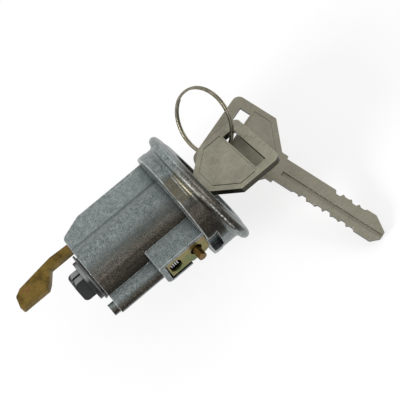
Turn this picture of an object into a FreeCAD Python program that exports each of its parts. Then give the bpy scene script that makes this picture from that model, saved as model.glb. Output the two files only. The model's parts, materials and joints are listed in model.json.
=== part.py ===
"""Ignition lock cylinder with its key turned to the accessory position.

The casting, the key-driven rotor with its wafers, the sprung lever in the side slab,
the retaining latch in the side box, and two keys on one split ring.

Frame, in millimetres: the lock axis is Y and the key goes in along +Y, so the bezel
faces -Y. The origin is on the axis, in the plane of the collar's rear face. The slab
stands out towards +X, the latch box towards -X, and +Z is up.
"""
import FreeCAD, Part
import math
import os
import re
import Sketcher
from FreeCAD import Placement, Rotation, Vector

document = FreeCAD.newDocument("IgnitionLock")
sheet = document.addObject("Spreadsheet::Sheet", "Sizes")

SIZES = (
    # casting
    ("body_radius", 10.9, "round body of the casting"),
    ("body_length", 34.9, "from the collar's rear face to the rear face"),
    ("body_flat_angle", 29, "direction of the shallow flat beside the box, from -X towards +Z"),
    ("body_flat_inset", 0.33, "depth of that flat under the round"),
    ("collar_radius", 19.85, "collar that fills the column's hole"),
    ("collar_depth", 8.1, "from its rear face to the bezel's back, on the axis"),
    ("land_angle", 72, "direction of the collar's flat land, from -X towards +Z"),
    ("land_inset", 0.7, "depth of that land under the round"),
    ("collar_seat", 2.6, "machined seat of the collar, from its rear face"),
    ("collar_relief", 0.25, "rest of the collar under that seat"),
    ("collar_taper", 0.8, "slope from the seat down to the rest of the collar"),
    ("bezel_radius", 22.3, "outer radius of the bezel"),
    ("bezel_rim", 3.1, "thickness of the bezel's fully rounded rim"),
    ("bezel_tilt", 9.5, "slant of the bezel, furthest forward at the bottom"),
    ("bezel_crown", 0.5, "how far the bezel's face stands proud of its rim"),
    ("bezel_crown_radius", 18.6, "radius of the raised part of the face"),
    ("root_fillet", 1.4, "fillet between the collar and the bezel's back"),
    ("dish_radius", 12.4, "floor of the dish round the rotor's cap"),
    ("dish_mouth_radius", 15.2, "mouth of the dish"),
    ("dish_floor", 7.9, "dish floor, forward of the origin"),
    ("notch_half_width", 4.6, "notch in the collar behind the bezel"),
    ("notch_length", 3.9, "length of that notch along the axis"),
    ("core_pocket", 1.9, "side of the two small square core pockets"),
    ("core_pocket_depth", 1.5, "their depth"),
    ("core_pocket_1_across", 0.8, "upper pocket towards -X from the axis"),
    ("core_pocket_1_up", 16.3, "upper pocket above the axis"),
    ("core_pocket_2_across", 10.3, "side pocket towards -X from the axis"),
    ("core_pocket_2_up", 10.9, "side pocket above the axis"),
    # slab with the lever
    ("slab_half_width", 5.75, "half width of the slab"),
    ("slab_reach", 17.8, "outer face of the slab from the axis"),
    ("slab_chamfer", 3.3, "drop of the slab's rear chamfer"),
    ("slab_chamfer_length", 8.2, "length of that chamfer"),
    ("slab_rounding", 2.0, "rounding of the slab's rear corners"),
    ("slab_fillet", 1.4, "fillet between the slab and the round body"),
    ("channel_floor", 10.2, "bottom of the lever channel from the axis"),
    ("channel_roof", 16.0, "roof of the lever channel"),
    ("channel_start", 1.5, "front end of the channel"),
    ("lever_gap", 0.2, "free play on each side of the lever"),
    ("cover_thickness", 1.0, "staked cover over the front of the channel"),
    ("cover_start", 4.4, "front edge of the cover"),
    ("cover_length", 10.7, "length of the cover"),
    # latch box and rib
    ("box_half_width", 5.75, "half width of the latch box"),
    ("box_reach", 16.9, "open face of the box from the axis"),
    ("box_length", 17.7, "length of the box behind the collar"),
    ("box_wall", 1.5, "side walls of the box"),
    ("box_end_wall", 1.75, "rear wall of the box"),
    ("box_floor", 9.2, "floor of the box cavity from the axis"),
    ("box_cutaway", 7.7, "length over which the lower wall is cut low"),
    ("box_cutaway_reach", 13.2, "height left of the lower wall there"),
    ("box_lip", 0.7, "lower wall thinned beside the rear of the plate"),
    ("box_lip_depth", 3.5, "depth over which it is thinned"),
    ("box_rounding", 2.0, "rounding of the box's lower rear corner"),
    ("rib_half_width", 2.4, "half width of the rib, also its end radius"),
    ("rib_centre", 14.4, "centre of the rib's round edge from the axis"),
    ("peg_radius", 2.1, "cast peg at the rib's rear end"),
    ("peg_centre", 14.0, "peg from the axis"),
    ("peg_length", 2.3, "length of the peg"),
    # rotor
    ("key_turn", 16, "angle of the key's plane, from level, as stored"),
    ("lock_travel", 50, "turn from the stored position back to lock"),
    ("rotor_radius", 7.25, "rotor"),
    ("rotor_gap", 0.05, "radial running clearance of the rotor"),
    ("rotor_front", 7.75, "front face of the rotor's head, forward of the origin"),
    ("head_length", 2.35, "length of the rotor's head"),
    ("head_radius", 9.1, "radius of the rotor's head"),
    ("cap_thickness", 0.5, "pressed face cap"),
    ("cap_skirt", 1.9, "length of the cap's skirt"),
    ("cap_gap", 0.08, "radial clearance round the cap"),
    ("rotor_tail", 2.6, "rotor standing out behind the casting"),
    ("tang_length", 4.2, "drive tang"),
    ("tang_width", 8.9, "drive tang across its wide way"),
    ("tang_thickness", 5.5, "drive tang across its narrow way"),
    ("tang_rounding", 1.8, "rounding of the tang's end across its wide way"),
    ("tang_groove", 0.9, "width of the groove down each narrow face"),
    ("tang_groove_depth", 0.7, "depth of that groove"),
    ("washer_thickness", 0.45, "thrust washer behind the casting"),
    ("washer_radius", 7.9, "outer radius of the washer"),
    ("clip_thickness", 0.7, "retaining clip"),
    ("clip_radius", 8.2, "outer radius of the clip"),
    ("clip_seat", 0.8, "depth of the clip's groove in the rotor"),
    ("clip_opening", 9.4, "width of the clip's mouth"),
    ("clip_mouth_angle", 72, "direction of the mouth, from +X towards -Z"),
    ("clip_ear_angle", -25, "direction of the clip's ear, from +X towards -Z"),
    ("stack_gap", 0.05, "end play between stacked pieces"),
    # keys and wafers
    ("blade_half_width", 4.2, "half width of the blade"),
    ("tip_run", 8.75, "blade beyond the last cut"),
    ("key_thickness", 2.1, "thickness of the key"),
    ("keyway_gap", 0.12, "free play round the blade"),
    ("key_head_half_width", 14.0, "half width of the key's head"),
    ("key_head_length", 26.6, "length of the head"),
    ("key_side_length", 16.0, "straight side of the head"),
    ("key_neck", 5.2, "half width of the head at the shoulder"),
    ("key_shoulder", 2.4, "length of the straight neck"),
    ("head_corner", 2.6, "rounding of the head's far corners"),
    ("tip_length", 5.2, "long slope of the blade's tip"),
    ("tip_edge", 1.7, "end of the tip's short slope from the blade's middle"),
    ("tip_other_edge", 0.85, "end of its long slope, past the middle"),
    ("slot_half_length", 10.5, "half length of the slot in the head"),
    ("slot_half_width", 2.1, "half width of that slot"),
    ("slot_inset", 5.8, "slot's middle from the far edge of the head"),
    ("border_inset", 1.9, "engraved border's outer line from the edge of the head"),
    ("border_width", 0.5, "width of that line"),
    ("border_depth", 0.2, "depth of that line"),
    ("border_margin", 0.5, "border's far line from the slot"),
    ("ward_width", 1.5, "groove along each side of the blade"),
    ("ward_depth", 0.6, "depth of that groove"),
    ("ward_offset", 0.9, "groove's middle off the blade's middle"),
    ("first_cut", 8.7, "first cut from the shoulder"),
    ("cut_pitch", 3.1, "from one cut to the next"),
    ("cut_flat", 1.4, "flat bottom of a cut"),
    ("cut_slope", 0.75, "length of each sloping side of a cut"),
    ("cut_1", 0.5, "depth of the cut"),
    ("cut_2", 1.0, "depth of the cut"),
    ("cut_3", 0.3, "depth of the cut"),
    ("cut_4", 0.8, "depth of the cut"),
    ("cut_5", 1.1, "depth of the cut"),
    ("cut_6", 0.4, "depth of the cut"),
    ("cut_7", 0.9, "depth of the cut"),
    ("cut_8", 0.6, "depth of the cut"),
    ("wafer_thickness", 1.2, "thickness of a wafer"),
    ("wafer_half_width", 3.1, "half width of a wafer"),
    ("wafer_gap", 0.05, "free play round a wafer and under its ends"),
    ("wafer_travel", 1.4, "room in the window beyond the blade"),
    ("lug_reach", 4.9, "end of the wafer's spring lug from its middle"),
    ("lug_length", 1.6, "length of that lug along the wafer's travel"),
    ("wafer_spring_radius", 0.5, "mean radius of a wafer spring"),
    ("wafer_spring_wire", 0.2, "wire of a wafer spring"),
    ("wafer_spring_end", 5.35, "closed end of the spring's hole from the rotor's middle"),
    # shutter
    ("shutter_thickness", 0.8, "flap that closes the keyway"),
    ("shutter_length", 3.4, "length of the flap"),
    ("shutter_half_width", 4.2, "half width of the flap"),
    ("shutter_barrel", 0.85, "radius of the flap's hinge barrel"),
    ("shutter_end_room", 1.0, "room in the rotor beyond each end of the flap"),
    ("shutter_pin_half_length", 5.85, "half length of its pin"),
    ("shutter_pin_radius", 0.4, "radius of its pin"),
    ("pin_gap", 0.04, "radial clearance on small pins"),
    # lever
    ("lever_thickness", 2.6, "lever plate"),
    ("lever_pivot", 17, "pivot behind the origin"),
    ("lever_pivot_reach", 13.0, "pivot from the axis"),
    ("lever_pin_radius", 1.2, "radius of the pivot pin"),
    ("lever_pin_end", 3.4, "blind end of the pin's hole above the middle"),
    ("lever_eye_radius", 2.5, "round of the lever about its pivot"),
    ("lever_arm_top", 13.5, "outer edge of the front arm from the axis"),
    ("lever_foot", 11.45, "foot of the lever from the axis"),
    ("lever_neck_inner", 11.85, "inner edge of the neck from the axis"),
    ("lever_neck_outer", 14.9, "outer edge of the neck from the axis"),
    ("lever_hump", 15.3, "outer edge of the lever behind the casting"),
    ("paddle_start", 9.2, "end of the neck behind the casting"),
    ("paddle_inner", 6.55, "inner edge of the paddle from the axis"),
    ("paddle_outer", 13.4, "outer edge of the paddle near its end"),
    ("paddle_step", 4.6, "length of the slope from the neck down to the paddle"),
    ("paddle_knee", 1.7, "steep end of that slope"),
    ("paddle_knee_rise", 1.5, "height of that steep end"),
    ("paddle_hump_lead", 2.0, "hump ahead of the end of the neck"),
    ("paddle_heel", 0.4, "corner cut off the paddle's inner end"),
    ("paddle_heel_width", 0.7, "width of that cut"),
    ("paddle_toe", 3.6, "corner cut off the paddle's outer end"),
    ("paddle_toe_width", 1.6, "width of that cut"),
    ("paddle_end_drop", 1.0, "slope of the paddle's end"),
    ("lever_reach", 24.4, "lever standing out behind the casting"),
    ("plunger_radius", 0.8, "plunger between the rotor and the lever"),
    ("lever_spring_radius", 0.95, "mean radius of the lever spring"),
    ("lever_spring_wire", 0.35, "wire of the lever spring"),
    ("lever_spring_place", 9.2, "lever spring behind the origin"),
    # latch
    ("plate_thickness", 1.0, "plated steel plate over the latch box"),
    ("plate_ledge", 0.85, "ledge in the box that carries the plate"),
    ("plate_tab", 0.7, "lower edge of the plate standing out over the cut-away wall"),
    ("plate_corner", 1.5, "corner cut off the plate beside the collar"),
    ("plate_inset", 0.2, "plate's face under the box's edge"),
    ("plate_gap", 0.1, "free play round the plate"),
    ("plate_end_gap", 0.6, "gap behind the plate"),
    ("pin_place", 4.4, "retaining pin behind the origin"),
    ("pin_hole_radius", 2.1, "hole in the plate for the retaining pin"),
    ("pin_radius", 1.45, "round side of the retaining pin"),
    ("pin_drop", 0.25, "middle of that round under the middle of the hole"),
    ("pin_proud", 3.4, "retaining pin's end above the box's edge"),
    ("pin_foot", 1.25, "thickness of the pin's foot"),
    ("pin_foot_half", 2.3, "half width of the pin's foot"),
    ("window_place", 12.6, "window in the plate behind the origin"),
    ("window_half_length", 2.1, "half length of the window"),
    ("window_half_width", 2.7, "half width of the window"),
    ("window_corner", 1.2, "corner cut off the window"),
    ("latch_spring_radius", 1.55, "mean radius of the latch spring"),
    ("latch_spring_wire", 0.5, "wire of the latch spring"),
    ("latch_spring_turns", 4, "turns of the latch spring"),
    ("latch_spring_sunk", 0.5, "top of the latch spring under the plate's face"),
    ("latch_spring_pitch", 0.78, "pitch of the latch spring"),
    # ring
    ("ring_radius", 12.0, "mean radius of the split ring"),
    ("ring_wire_width", 0.72, "wire along the ring's axis"),
    ("ring_wire_height", 0.9, "wire across the ring's axis"),
    ("ring_wire_gap", 0.04, "gap between the ring's two turns"),
    ("ring_in_slot", 8.79, "ring off the middle of the key's slot, along it"),
    ("ring_off_middle", 0.05, "ring off the middle of the key's slot, across it"),
    ("ring_in_spare", 7.5, "ring off the middle of the spare key's slot, along it"),
    ("ring_off_spare", 0.25, "ring off the middle of the spare key's slot, across it"),
    ("spare_hang", -53.9, "turn about the ring from the key to the spare key"),
)

for row, (alias, number, meaning) in enumerate(SIZES, start=1):
    sheet.set("A%d" % row, alias)
    sheet.set("B%d" % row, str(number))
    sheet.set("C%d" % row, meaning)
    sheet.setAlias("B%d" % row, alias)
document.recompute()
ALIASES = {alias for alias, number, meaning in SIZES}
WAFERS = 8
FAR_EDGE_WAFERS = 4          # the last ones read the blade's other edge
FULL_TURN = 360
TOUCH = 0.01                 # two places closer than this are one
NEAR = 0.05                  # the same along a slanted face
X_AXIS = Vector(1, 0, 0)
Y_AXIS = Vector(0, 1, 0)
Z_AXIS = Vector(0, 0, 1)


def size(alias):
    """The number that the sheet holds for one size."""
    return float(getattr(sheet, alias))


def linked(text):
    """An expression on the sheet, from text that names its sizes plainly."""
    return re.sub(r"[a-z]\w*", lambda word: "Sizes." + word[0] if word[0] in ALIASES else word[0], text)


def bind(item, links):
    for target, text in links.items():
        item.setExpression(target, linked(text))
    return item


def block(name, x, y, z):
    """A box between pairs of limits along X, Y and Z."""
    item = document.addObject("Part::Box", name)
    return bind(item, {
        "Length": "(%s) - (%s)" % (x[1], x[0]),
        "Width": "(%s) - (%s)" % (y[1], y[0]),
        "Height": "(%s) - (%s)" % (z[1], z[0]),
        "Placement.Base.x": x[0],
        "Placement.Base.y": y[0],
        "Placement.Base.z": z[0],
    })


ALONG = {
    "x": Rotation(Vector(0, 1, 0), 90),
    "y": Rotation(Vector(1, 0, 0), -90),
    "z": Rotation(),
}


def rod(name, radius, along, limits, x="0", y="0", z="0"):
    """A cylinder along one axis, between two limits on that axis."""
    item = document.addObject("Part::Cylinder", name)
    item.Placement = Placement(Vector(), ALONG[along])
    base = {"x": x, "y": y, "z": z}
    base[along] = limits[0]
    return bind(item, {
        "Radius": radius,
        "Height": "(%s) - (%s)" % (limits[1], limits[0]),
        "Placement.Base.x": base["x"],
        "Placement.Base.y": base["y"],
        "Placement.Base.z": base["z"],
    })


def new_sketch(name, body=None, plane="XY_Plane"):
    """An empty sketch, free in the XY plane or on one of a body's own origin planes."""
    if body is None:
        return document.addObject("Sketcher::SketchObject", name)
    sketch = body.newObject("Sketcher::SketchObject", name)
    support = [item for item in body.Origin.OriginFeatures if item.Role == plane][0]
    sketch.AttachmentSupport = (support, [""])
    sketch.MapMode = "FlatFace"
    return sketch


def outline(name, corners, body=None, plane="XY_Plane"):
    """A closed sketch whose corners are bound to the sheet."""
    sketch = new_sketch(name, body, plane)
    count = len(corners)
    start = [Vector(math.cos(FULL_TURN / count * i * math.pi / 180),
                    math.sin(FULL_TURN / count * i * math.pi / 180), 0) for i in range(count)]
    for i in range(count):
        sketch.addGeometry(Part.LineSegment(start[i], start[(i + 1) % count]), False)
    for i in range(count):
        sketch.addConstraint(Sketcher.Constraint("Coincident", i, 2, (i + 1) % count, 1))
    for i, (x, y) in enumerate(corners):
        for kind, text in (("DistanceX", x), ("DistanceY", y)):
            place = sketch.addConstraint(Sketcher.Constraint(kind, -1, 1, i, 1, 1.0))
            sketch.setExpression("Constraints[%d]" % place, linked(text))
    return sketch


def circle(name, radius, across, up, body, plane="XY_Plane"):
    """A sketch of one circle bound to the sheet."""
    sketch = new_sketch(name, body, plane)
    sketch.addGeometry(Part.Circle(Vector(), Vector(0, 0, 1), 1.0), False)
    for constraint, text in ((Sketcher.Constraint("Radius", 0, 1.0), radius),
                             (Sketcher.Constraint("DistanceX", -1, 1, 0, 3, 1.0), across),
                             (Sketcher.Constraint("DistanceY", -1, 1, 0, 3, 1.0), up)):
        place = sketch.addConstraint(constraint)
        sketch.setExpression("Constraints[%d]" % place, linked(text))
    return sketch


def pad(body, sketch, length, midplane=False):
    feature = body.newObject("PartDesign::Pad", sketch.Name + "_pad")
    feature.Profile = sketch
    feature.Midplane = midplane
    return bind(feature, {"Length": length})


def pocket(body, sketch):
    """A cut right through, both ways from the sketch."""
    feature = body.newObject("PartDesign::Pocket", sketch.Name + "_pocket")
    feature.Profile = sketch
    feature.Type = "ThroughAll"
    feature.Midplane = True
    return feature


def slice_between(name, corners, z):
    """An outline in XY, given thickness between two heights."""
    sketch = outline(name + "_outline", corners)
    bind(sketch, {"Placement.Base.z": z[0]})
    item = document.addObject("Part::Extrusion", name)
    item.Base = sketch
    item.DirMode = "Custom"
    item.Dir = Vector(0, 0, 1)
    item.Solid = True
    return bind(item, {"LengthFwd": "(%s) - (%s)" % (z[1], z[0])})


def turned(name, corners):
    """A solid of revolution about the lock axis, from radius and Y pairs."""
    item = document.addObject("Part::Revolution", name)
    item.Source = outline(name + "_outline", corners)
    item.Axis = Vector(0, 1, 0)
    item.Base = Vector()
    item.Angle = FULL_TURN
    item.Solid = True
    return item


def fuse(name, *pieces):
    item = document.addObject("Part::MultiFuse", name)
    item.Shapes = list(pieces)
    item.Refine = True
    return item


def common(name, first, second):
    item = document.addObject("Part::MultiCommon", name)
    item.Shapes = [first, second]
    item.Refine = True
    return item


def cut(name, base, *tools):
    item = document.addObject("Part::Cut", name)
    item.Base = base
    item.Tool = tools[0] if len(tools) == 1 else fuse(name + "_tools", *tools)
    item.Refine = True
    return item


def gather(name, *pieces):
    """Several pieces kept as separate solids of one item, which can be turned as one."""
    item = document.addObject("Part::Compound", name)
    item.Links = list(pieces)
    return item


def swing(name, item, angle):
    """Turns an item about the lock axis, clockwise as seen from the key's side."""
    holder = gather(name, item)
    holder.Placement = Placement(Vector(), Rotation(Y_AXIS, angle))
    return holder


def round_edges(name, base, radius, chosen):
    """A fillet on the edges of a solid that a test picks out."""
    document.recompute()
    item = document.addObject("Part::Fillet", name)
    item.Base = base
    reach = size(radius)
    edges = enumerate(base.Shape.Edges, start=1)
    item.Edges = [(place, reach, reach) for place, edge in edges if chosen(edge)]
    return item


def coil(radius, wire, pitch, turns):
    """A round-wire helix that starts at Z = 0 and climbs along Z."""
    helix = Part.makeHelix(pitch, pitch * turns, radius)
    section = Part.Wire(Part.makeCircle(wire / 2, Vector(radius, 0, 0), Vector(0, 1, 0)))
    return Part.Wire(helix).makePipeShell([section], True, True)


def shaped(name, shape, placement, links):
    """A sub-part whose form only code can make, seated by expressions on the sheet."""
    item = document.addObject("Part::Feature", name)
    item.Shape = shape
    item.Placement = placement
    return bind(item, links)


PARTS = {}


def part(label, item):
    item.Label = label
    PARTS[label] = item
    return item


def with_key(name, item):
    """Turns what rides with the key from its level build position to the stored one."""
    return swing(name, item, size("key_turn"))


# Turns of the coils, and how the ring's two turns cross over.
WAFER_SPRING_TURNS = 6
LEVER_SPRING_TURNS = 4
SHUTTER_SPRING_TURNS = 3
SHUTTER_SPRING_PITCH = 1.2          # in wire thicknesses
RING_BEND = 40                      # degrees

# How far a corner of the key's border slips along the neck and along the side as it is drawn in.
NECK_SLIP = 0.4
SIDE_SLIP = 0.43

# Places along the lock, and heights beside the blade, that several pieces share.
KEY_SEAT = "-rotor_front - cap_thickness"
LAST_CUT_END = "first_cut + %d * cut_pitch + cut_flat / 2 + cut_slope" % (WAFERS - 1)
BLADE_LENGTH = "(" + LAST_CUT_END + " + tip_run)"
PLUNGER_PLACE = "first_cut + 1.5 * cut_pitch - rotor_front - cap_thickness"
CLIP_START = "body_length + washer_thickness + 2 * stack_gap"
SPRING_HEIGHT = "(wafer_half_width + lug_reach) / 2"
SPRING_SIDE = "shutter_half_width - 5 * wafer_spring_wire"
SHUTTER_PLACE = "-rotor_front + shutter_barrel + 2 * stack_gap"
SHUTTER_HEIGHT = "(key_thickness / 2 + keyway_gap + stack_gap + shutter_barrel)"
COVER_LIMITS = ("cover_start", "cover_start + cover_length")
PIN_FOOT = "-box_reach + plate_inset + plate_thickness + stack_gap"

# How the ring lies in the key's slot, and the spare key on the ring.
RING_AXIS = Vector(-0.2, 0.792, 0.577).normalize()
RING_SIDE = Vector(0.968, 0.25, 0)          # from the slot towards the ring's middle
SPARE_ALONG = Vector(-0.914, -0.273, -0.301)
SPARE_FACE = Vector(-0.306, -0.026, 0.952).normalize()


def across(axis, direction):
    """The unit vector square to an axis that lies nearest to a direction."""
    return (direction - axis * axis.dot(direction)).normalize()


# The ring passes through the key's slot near one end of it, and through the spare key's.
stored = Rotation(Y_AXIS, size("key_turn"))
slot_middle = size("slot_inset") - size("key_head_length")
in_slot = stored.multVec(Vector(size("ring_in_slot"), 0, 0))
in_slot.y = slot_middle - size("rotor_front") - size("cap_thickness") - size("ring_off_middle")
to_centre = across(RING_AXIS, RING_SIDE)
RING_CENTRE = in_slot + to_centre * size("ring_radius")
on_ring = RING_CENTRE + Rotation(RING_AXIS, size("spare_hang")).multVec(-to_centre) * size("ring_radius")
spare_along = across(SPARE_FACE, SPARE_ALONG)
spare_across = spare_along.cross(SPARE_FACE)
spare_turn = Rotation(spare_across, spare_along, SPARE_FACE, "ZXY")
in_spare = Vector(size("ring_in_spare"), slot_middle + size("ring_off_spare"), 0)
SPARE_ROOT = on_ring - spare_turn.multVec(in_spare)


def wafer_place(number):
    """Middle of one wafer along the lock, the first being number 0."""
    return "first_cut + %d * cut_pitch - rotor_front - cap_thickness" % number


def wafer_limits(number, gap="0"):
    middle = wafer_place(number)
    return (middle + " - wafer_thickness / 2 - " + gap, middle + " + wafer_thickness / 2 + " + gap)


def wafer_side(number):
    """Which edge of the blade the wafer reads."""
    return 1 if number < WAFERS - FAR_EDGE_WAFERS else -1


def signed(side, text):
    return text if side > 0 else "-(%s)" % text


def span(side, low, high):
    """A pair of limits, mirrored through the middle for the negative side."""
    return (low, high) if side > 0 else ("-(%s)" % high, "-(%s)" % low)


def make_collar_and_bezel():
    """The slanted, round-rimmed bezel with the collar run into its back."""
    middle = "-bezel_rim / 2"
    disc = rod("bezel_disc", "bezel_radius - bezel_rim / 2", "y", ("-bezel_rim", "0"))
    rim = document.addObject("Part::Torus", "bezel_round")
    rim.Placement = Placement(Vector(), ALONG["y"])
    bind(rim, {
        "Radius1": "bezel_radius - bezel_rim / 2",
        "Radius2": "bezel_rim / 2",
        "Placement.Base.y": middle})
    crown = turned("bezel_crown_face", [
        ("0", middle), ("bezel_crown_radius", middle), ("bezel_crown_radius", "-bezel_rim"),
        ("bezel_crown_radius - 2 * bezel_crown", "-bezel_rim - bezel_crown"),
        ("0", "-bezel_rim - bezel_crown")])
    bezel = fuse("bezel", disc, rim, crown)
    bezel.Placement = Placement(Vector(), Rotation(X_AXIS, -size("bezel_tilt")))
    bind(bezel, {"Placement.Base.y": "-collar_depth"})

    neck = turned("collar_neck", [
        ("0", "-2 * collar_depth"), ("collar_radius - collar_relief", "-2 * collar_depth"),
        ("collar_radius - collar_relief", "-collar_seat - collar_taper"),
        ("collar_radius", "-collar_seat"), ("collar_radius", "0"), ("0", "0")])
    sideways = ("-2 * bezel_radius", "2 * bezel_radius")
    ahead = gather("slanted_tool", block("ahead_of_bezel", sideways, ("-4 * collar_depth", middle), sideways))
    ahead.Placement = Placement(Vector(), Rotation(X_AXIS, -size("bezel_tilt")))
    bind(ahead, {"Placement.Base.y": "-collar_depth"})
    return fuse("collar_and_bezel", cut("collar", neck, ahead), bezel)


def rooted(collar_and_bezel):
    """The concave fillet where the collar meets the bezel's slanted back."""
    lean = math.tan(math.radians(size("bezel_tilt")))
    crest = size("collar_radius") - size("collar_relief")

    def on_the_root(edge):
        if not edge.Vertexes or edge.Length < size("root_fillet"):
            return False
        spots = [edge.valueAt(edge.FirstParameter + (edge.LastParameter - edge.FirstParameter) * share)
                 for share in (0.0, 0.3, 0.7, 1.0)]
        return all(abs(math.hypot(spot.x, spot.z) - crest) < TOUCH
                   and abs(spot.y - (-size("collar_depth") + lean * spot.z)) < NEAR for spot in spots)

    return round_edges("rooted_bezel", collar_and_bezel, "root_fillet", on_the_root)


def make_housing():
    """The zinc casting: bezel, collar, round body, lever slab, latch box, rib and peg."""
    shell = rooted(make_collar_and_bezel())
    body = rod("body_blank", "body_radius", "y", ("-bezel_rim", "body_length"))
    flat = block("body_flat_tool", ("-2 * body_radius", "-body_radius + body_flat_inset"),
                 ("0", "2 * body_length"), ("-body_radius", "body_radius"))
    flat = swing("body_flat", flat, size("body_flat_angle"))
    body = cut("body", body, flat)

    slab = slice_between("slab_blank", [
        ("body_radius / 2", "-bezel_rim / 2"), ("slab_reach", "-bezel_rim / 2"),
        ("slab_reach", "body_length - slab_chamfer_length"),
        ("slab_reach - slab_chamfer", "body_length"), ("body_radius / 2", "body_length")],
        ("-slab_half_width", "slab_half_width"))

    def upright_rear_corner(edge):
        ends = [vertex.Point for vertex in edge.Vertexes]
        upright = abs(abs(ends[0].z - ends[-1].z) - 2 * size("slab_half_width")) < TOUCH
        return upright and min(end.x for end in ends) > size("body_radius") and ends[0].y > size("slab_reach")

    slab = round_edges("slab", slab, "slab_rounding", upright_rear_corner)
    box = block("box_blank", ("-box_reach", "-body_radius / 2"), ("-bezel_rim / 2", "box_length"),
                ("-box_half_width", "box_half_width"))

    def lower_rear_corner(edge):
        ends = [vertex.Point for vertex in edge.Vertexes]
        return all(abs(end.y - size("box_length")) < TOUCH and abs(end.z + size("box_half_width")) < TOUCH
                   for end in ends)

    box = round_edges("box", box, "box_rounding", lower_rear_corner)
    rib = block("rib_web", ("-rib_centre", "-body_radius / 2"), ("box_length / 2", "body_length"),
                ("-rib_half_width", "rib_half_width"))
    rib_round = rod("rib_round", "rib_half_width", "y", ("box_length / 2", "body_length"), x="-rib_centre")
    peg = rod("peg", "peg_radius", "y", ("body_length - rib_half_width", "body_length + peg_length"),
              x="-peg_centre")

    def slab_root(edge):
        ends = [vertex.Point for vertex in edge.Vertexes]
        return len(ends) == 2 and all(
            end.x > 0 and abs(abs(end.z) - size("slab_half_width")) < TOUCH
            and abs(math.hypot(end.x, end.z) - size("body_radius")) < TOUCH for end in ends)

    trunk = round_edges("trunk", fuse("body_and_slab", body, slab), "slab_fillet", slab_root)
    casting = fuse("casting", shell, trunk, box, rib, rib_round, peg)

    land = block("land_tool", ("-collar_radius", "collar_radius"),
                 ("-collar_seat - collar_taper", "collar_depth"),
                 ("collar_radius - land_inset", "2 * collar_radius"))
    land = swing("land_cut", land, size("land_angle") - FULL_TURN / 4)
    bore = rod("bore", "rotor_radius + rotor_gap", "y", ("-4 * collar_depth", "2 * body_length"))
    seat = rod("head_seat", "head_radius + cap_thickness + cap_gap", "y",
               ("-4 * collar_depth", "-rotor_front + head_length + stack_gap"))
    dish = turned("dish", [("0", "-dish_floor"), ("dish_radius", "-dish_floor"),
                           ("dish_mouth_radius", "-2 * dish_floor - bezel_crown"),
                           ("0", "-2 * dish_floor - bezel_crown")])
    races = block("wafer_races", ("-rotor_radius - wafer_travel - wafer_gap",
                                  "rotor_radius + wafer_travel + wafer_gap"),
                  (wafer_place(0) + " - wafer_thickness", wafer_place(WAFERS - 1) + " + wafer_thickness"),
                  ("-wafer_half_width - wafer_gap", "wafer_half_width + wafer_gap"))
    races = swing("locked_races", races, size("key_turn") - size("lock_travel"))
    channel = block("lever_channel", ("channel_floor", "channel_roof"), ("channel_start", "2 * body_length"),
                    ("-lever_thickness / 2 - lever_gap", "lever_thickness / 2 + lever_gap"))
    window = block("cover_window", ("channel_roof - lever_gap", "slab_reach"),
                   ("cover_start + cover_thickness", "cover_start + cover_length - cover_thickness"),
                   ("-lever_thickness / 2 - lever_gap", "lever_thickness / 2 + lever_gap"))
    rebate = block("cover_rebate", ("slab_reach - cover_thickness", "2 * slab_reach"), COVER_LIMITS,
                   ("-2 * slab_half_width", "2 * slab_half_width"))
    pivot = rod("lever_pin_hole", "lever_pin_radius", "z", ("-2 * slab_half_width", "lever_pin_end"),
                x="lever_pivot_reach", y="lever_pivot")
    plunger = rod("plunger_hole", "plunger_radius + pin_gap", "x",
                  ("rotor_radius", "channel_floor + lever_gap"), y=PLUNGER_PLACE)
    cavity = block("latch_cavity", ("-2 * box_reach", "-box_floor"),
                   ("-plate_gap", "box_length - box_end_wall - plate_ledge"),
                   ("-box_half_width + box_wall + plate_ledge", "box_half_width - box_wall - plate_ledge"))
    rebate_for_plate = block("plate_rebate", ("-2 * box_reach", "-box_reach + plate_inset + plate_thickness"),
                             ("-plate_gap", "box_length - box_end_wall"),
                             ("-box_half_width + box_wall", "box_half_width - box_wall"))
    cutaway = block("box_cutaway", ("-2 * box_reach", "-box_cutaway_reach"), ("-plate_gap", "box_cutaway"),
                    ("-2 * box_half_width", "-box_half_width + 2 * box_wall"))
    inner_face = "(box_half_width - box_wall)"
    lip = block("lip_cut", ("-2 * box_reach", "-box_reach + box_lip_depth"),
                ("box_cutaway - box_lip", "box_length - box_end_wall"),
                ("-box_half_width + box_lip", "-%s + box_lip" % inner_face))
    notch = block("collar_notch", ("-2 * box_reach", "-box_reach"), ("-notch_length", "collar_depth"),
                  ("-notch_half_width", "notch_half_width"))
    pockets = []
    for number in (1, 2):
        across = "core_pocket_%d_across" % number
        up = "core_pocket_%d_up" % number
        pockets.append(block("core_pocket_%d" % number,
                             ("-%s - core_pocket / 2" % across, "-%s + core_pocket / 2" % across),
                             ("-core_pocket_depth", "core_pocket"),
                             ("%s - core_pocket / 2" % up, "%s + core_pocket / 2" % up)))
    return cut("housing", casting, land, bore, seat, dish, races, channel, window, rebate, pivot, plunger,
               cavity, rebate_for_plate, cutaway, lip, notch, *pockets)


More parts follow.
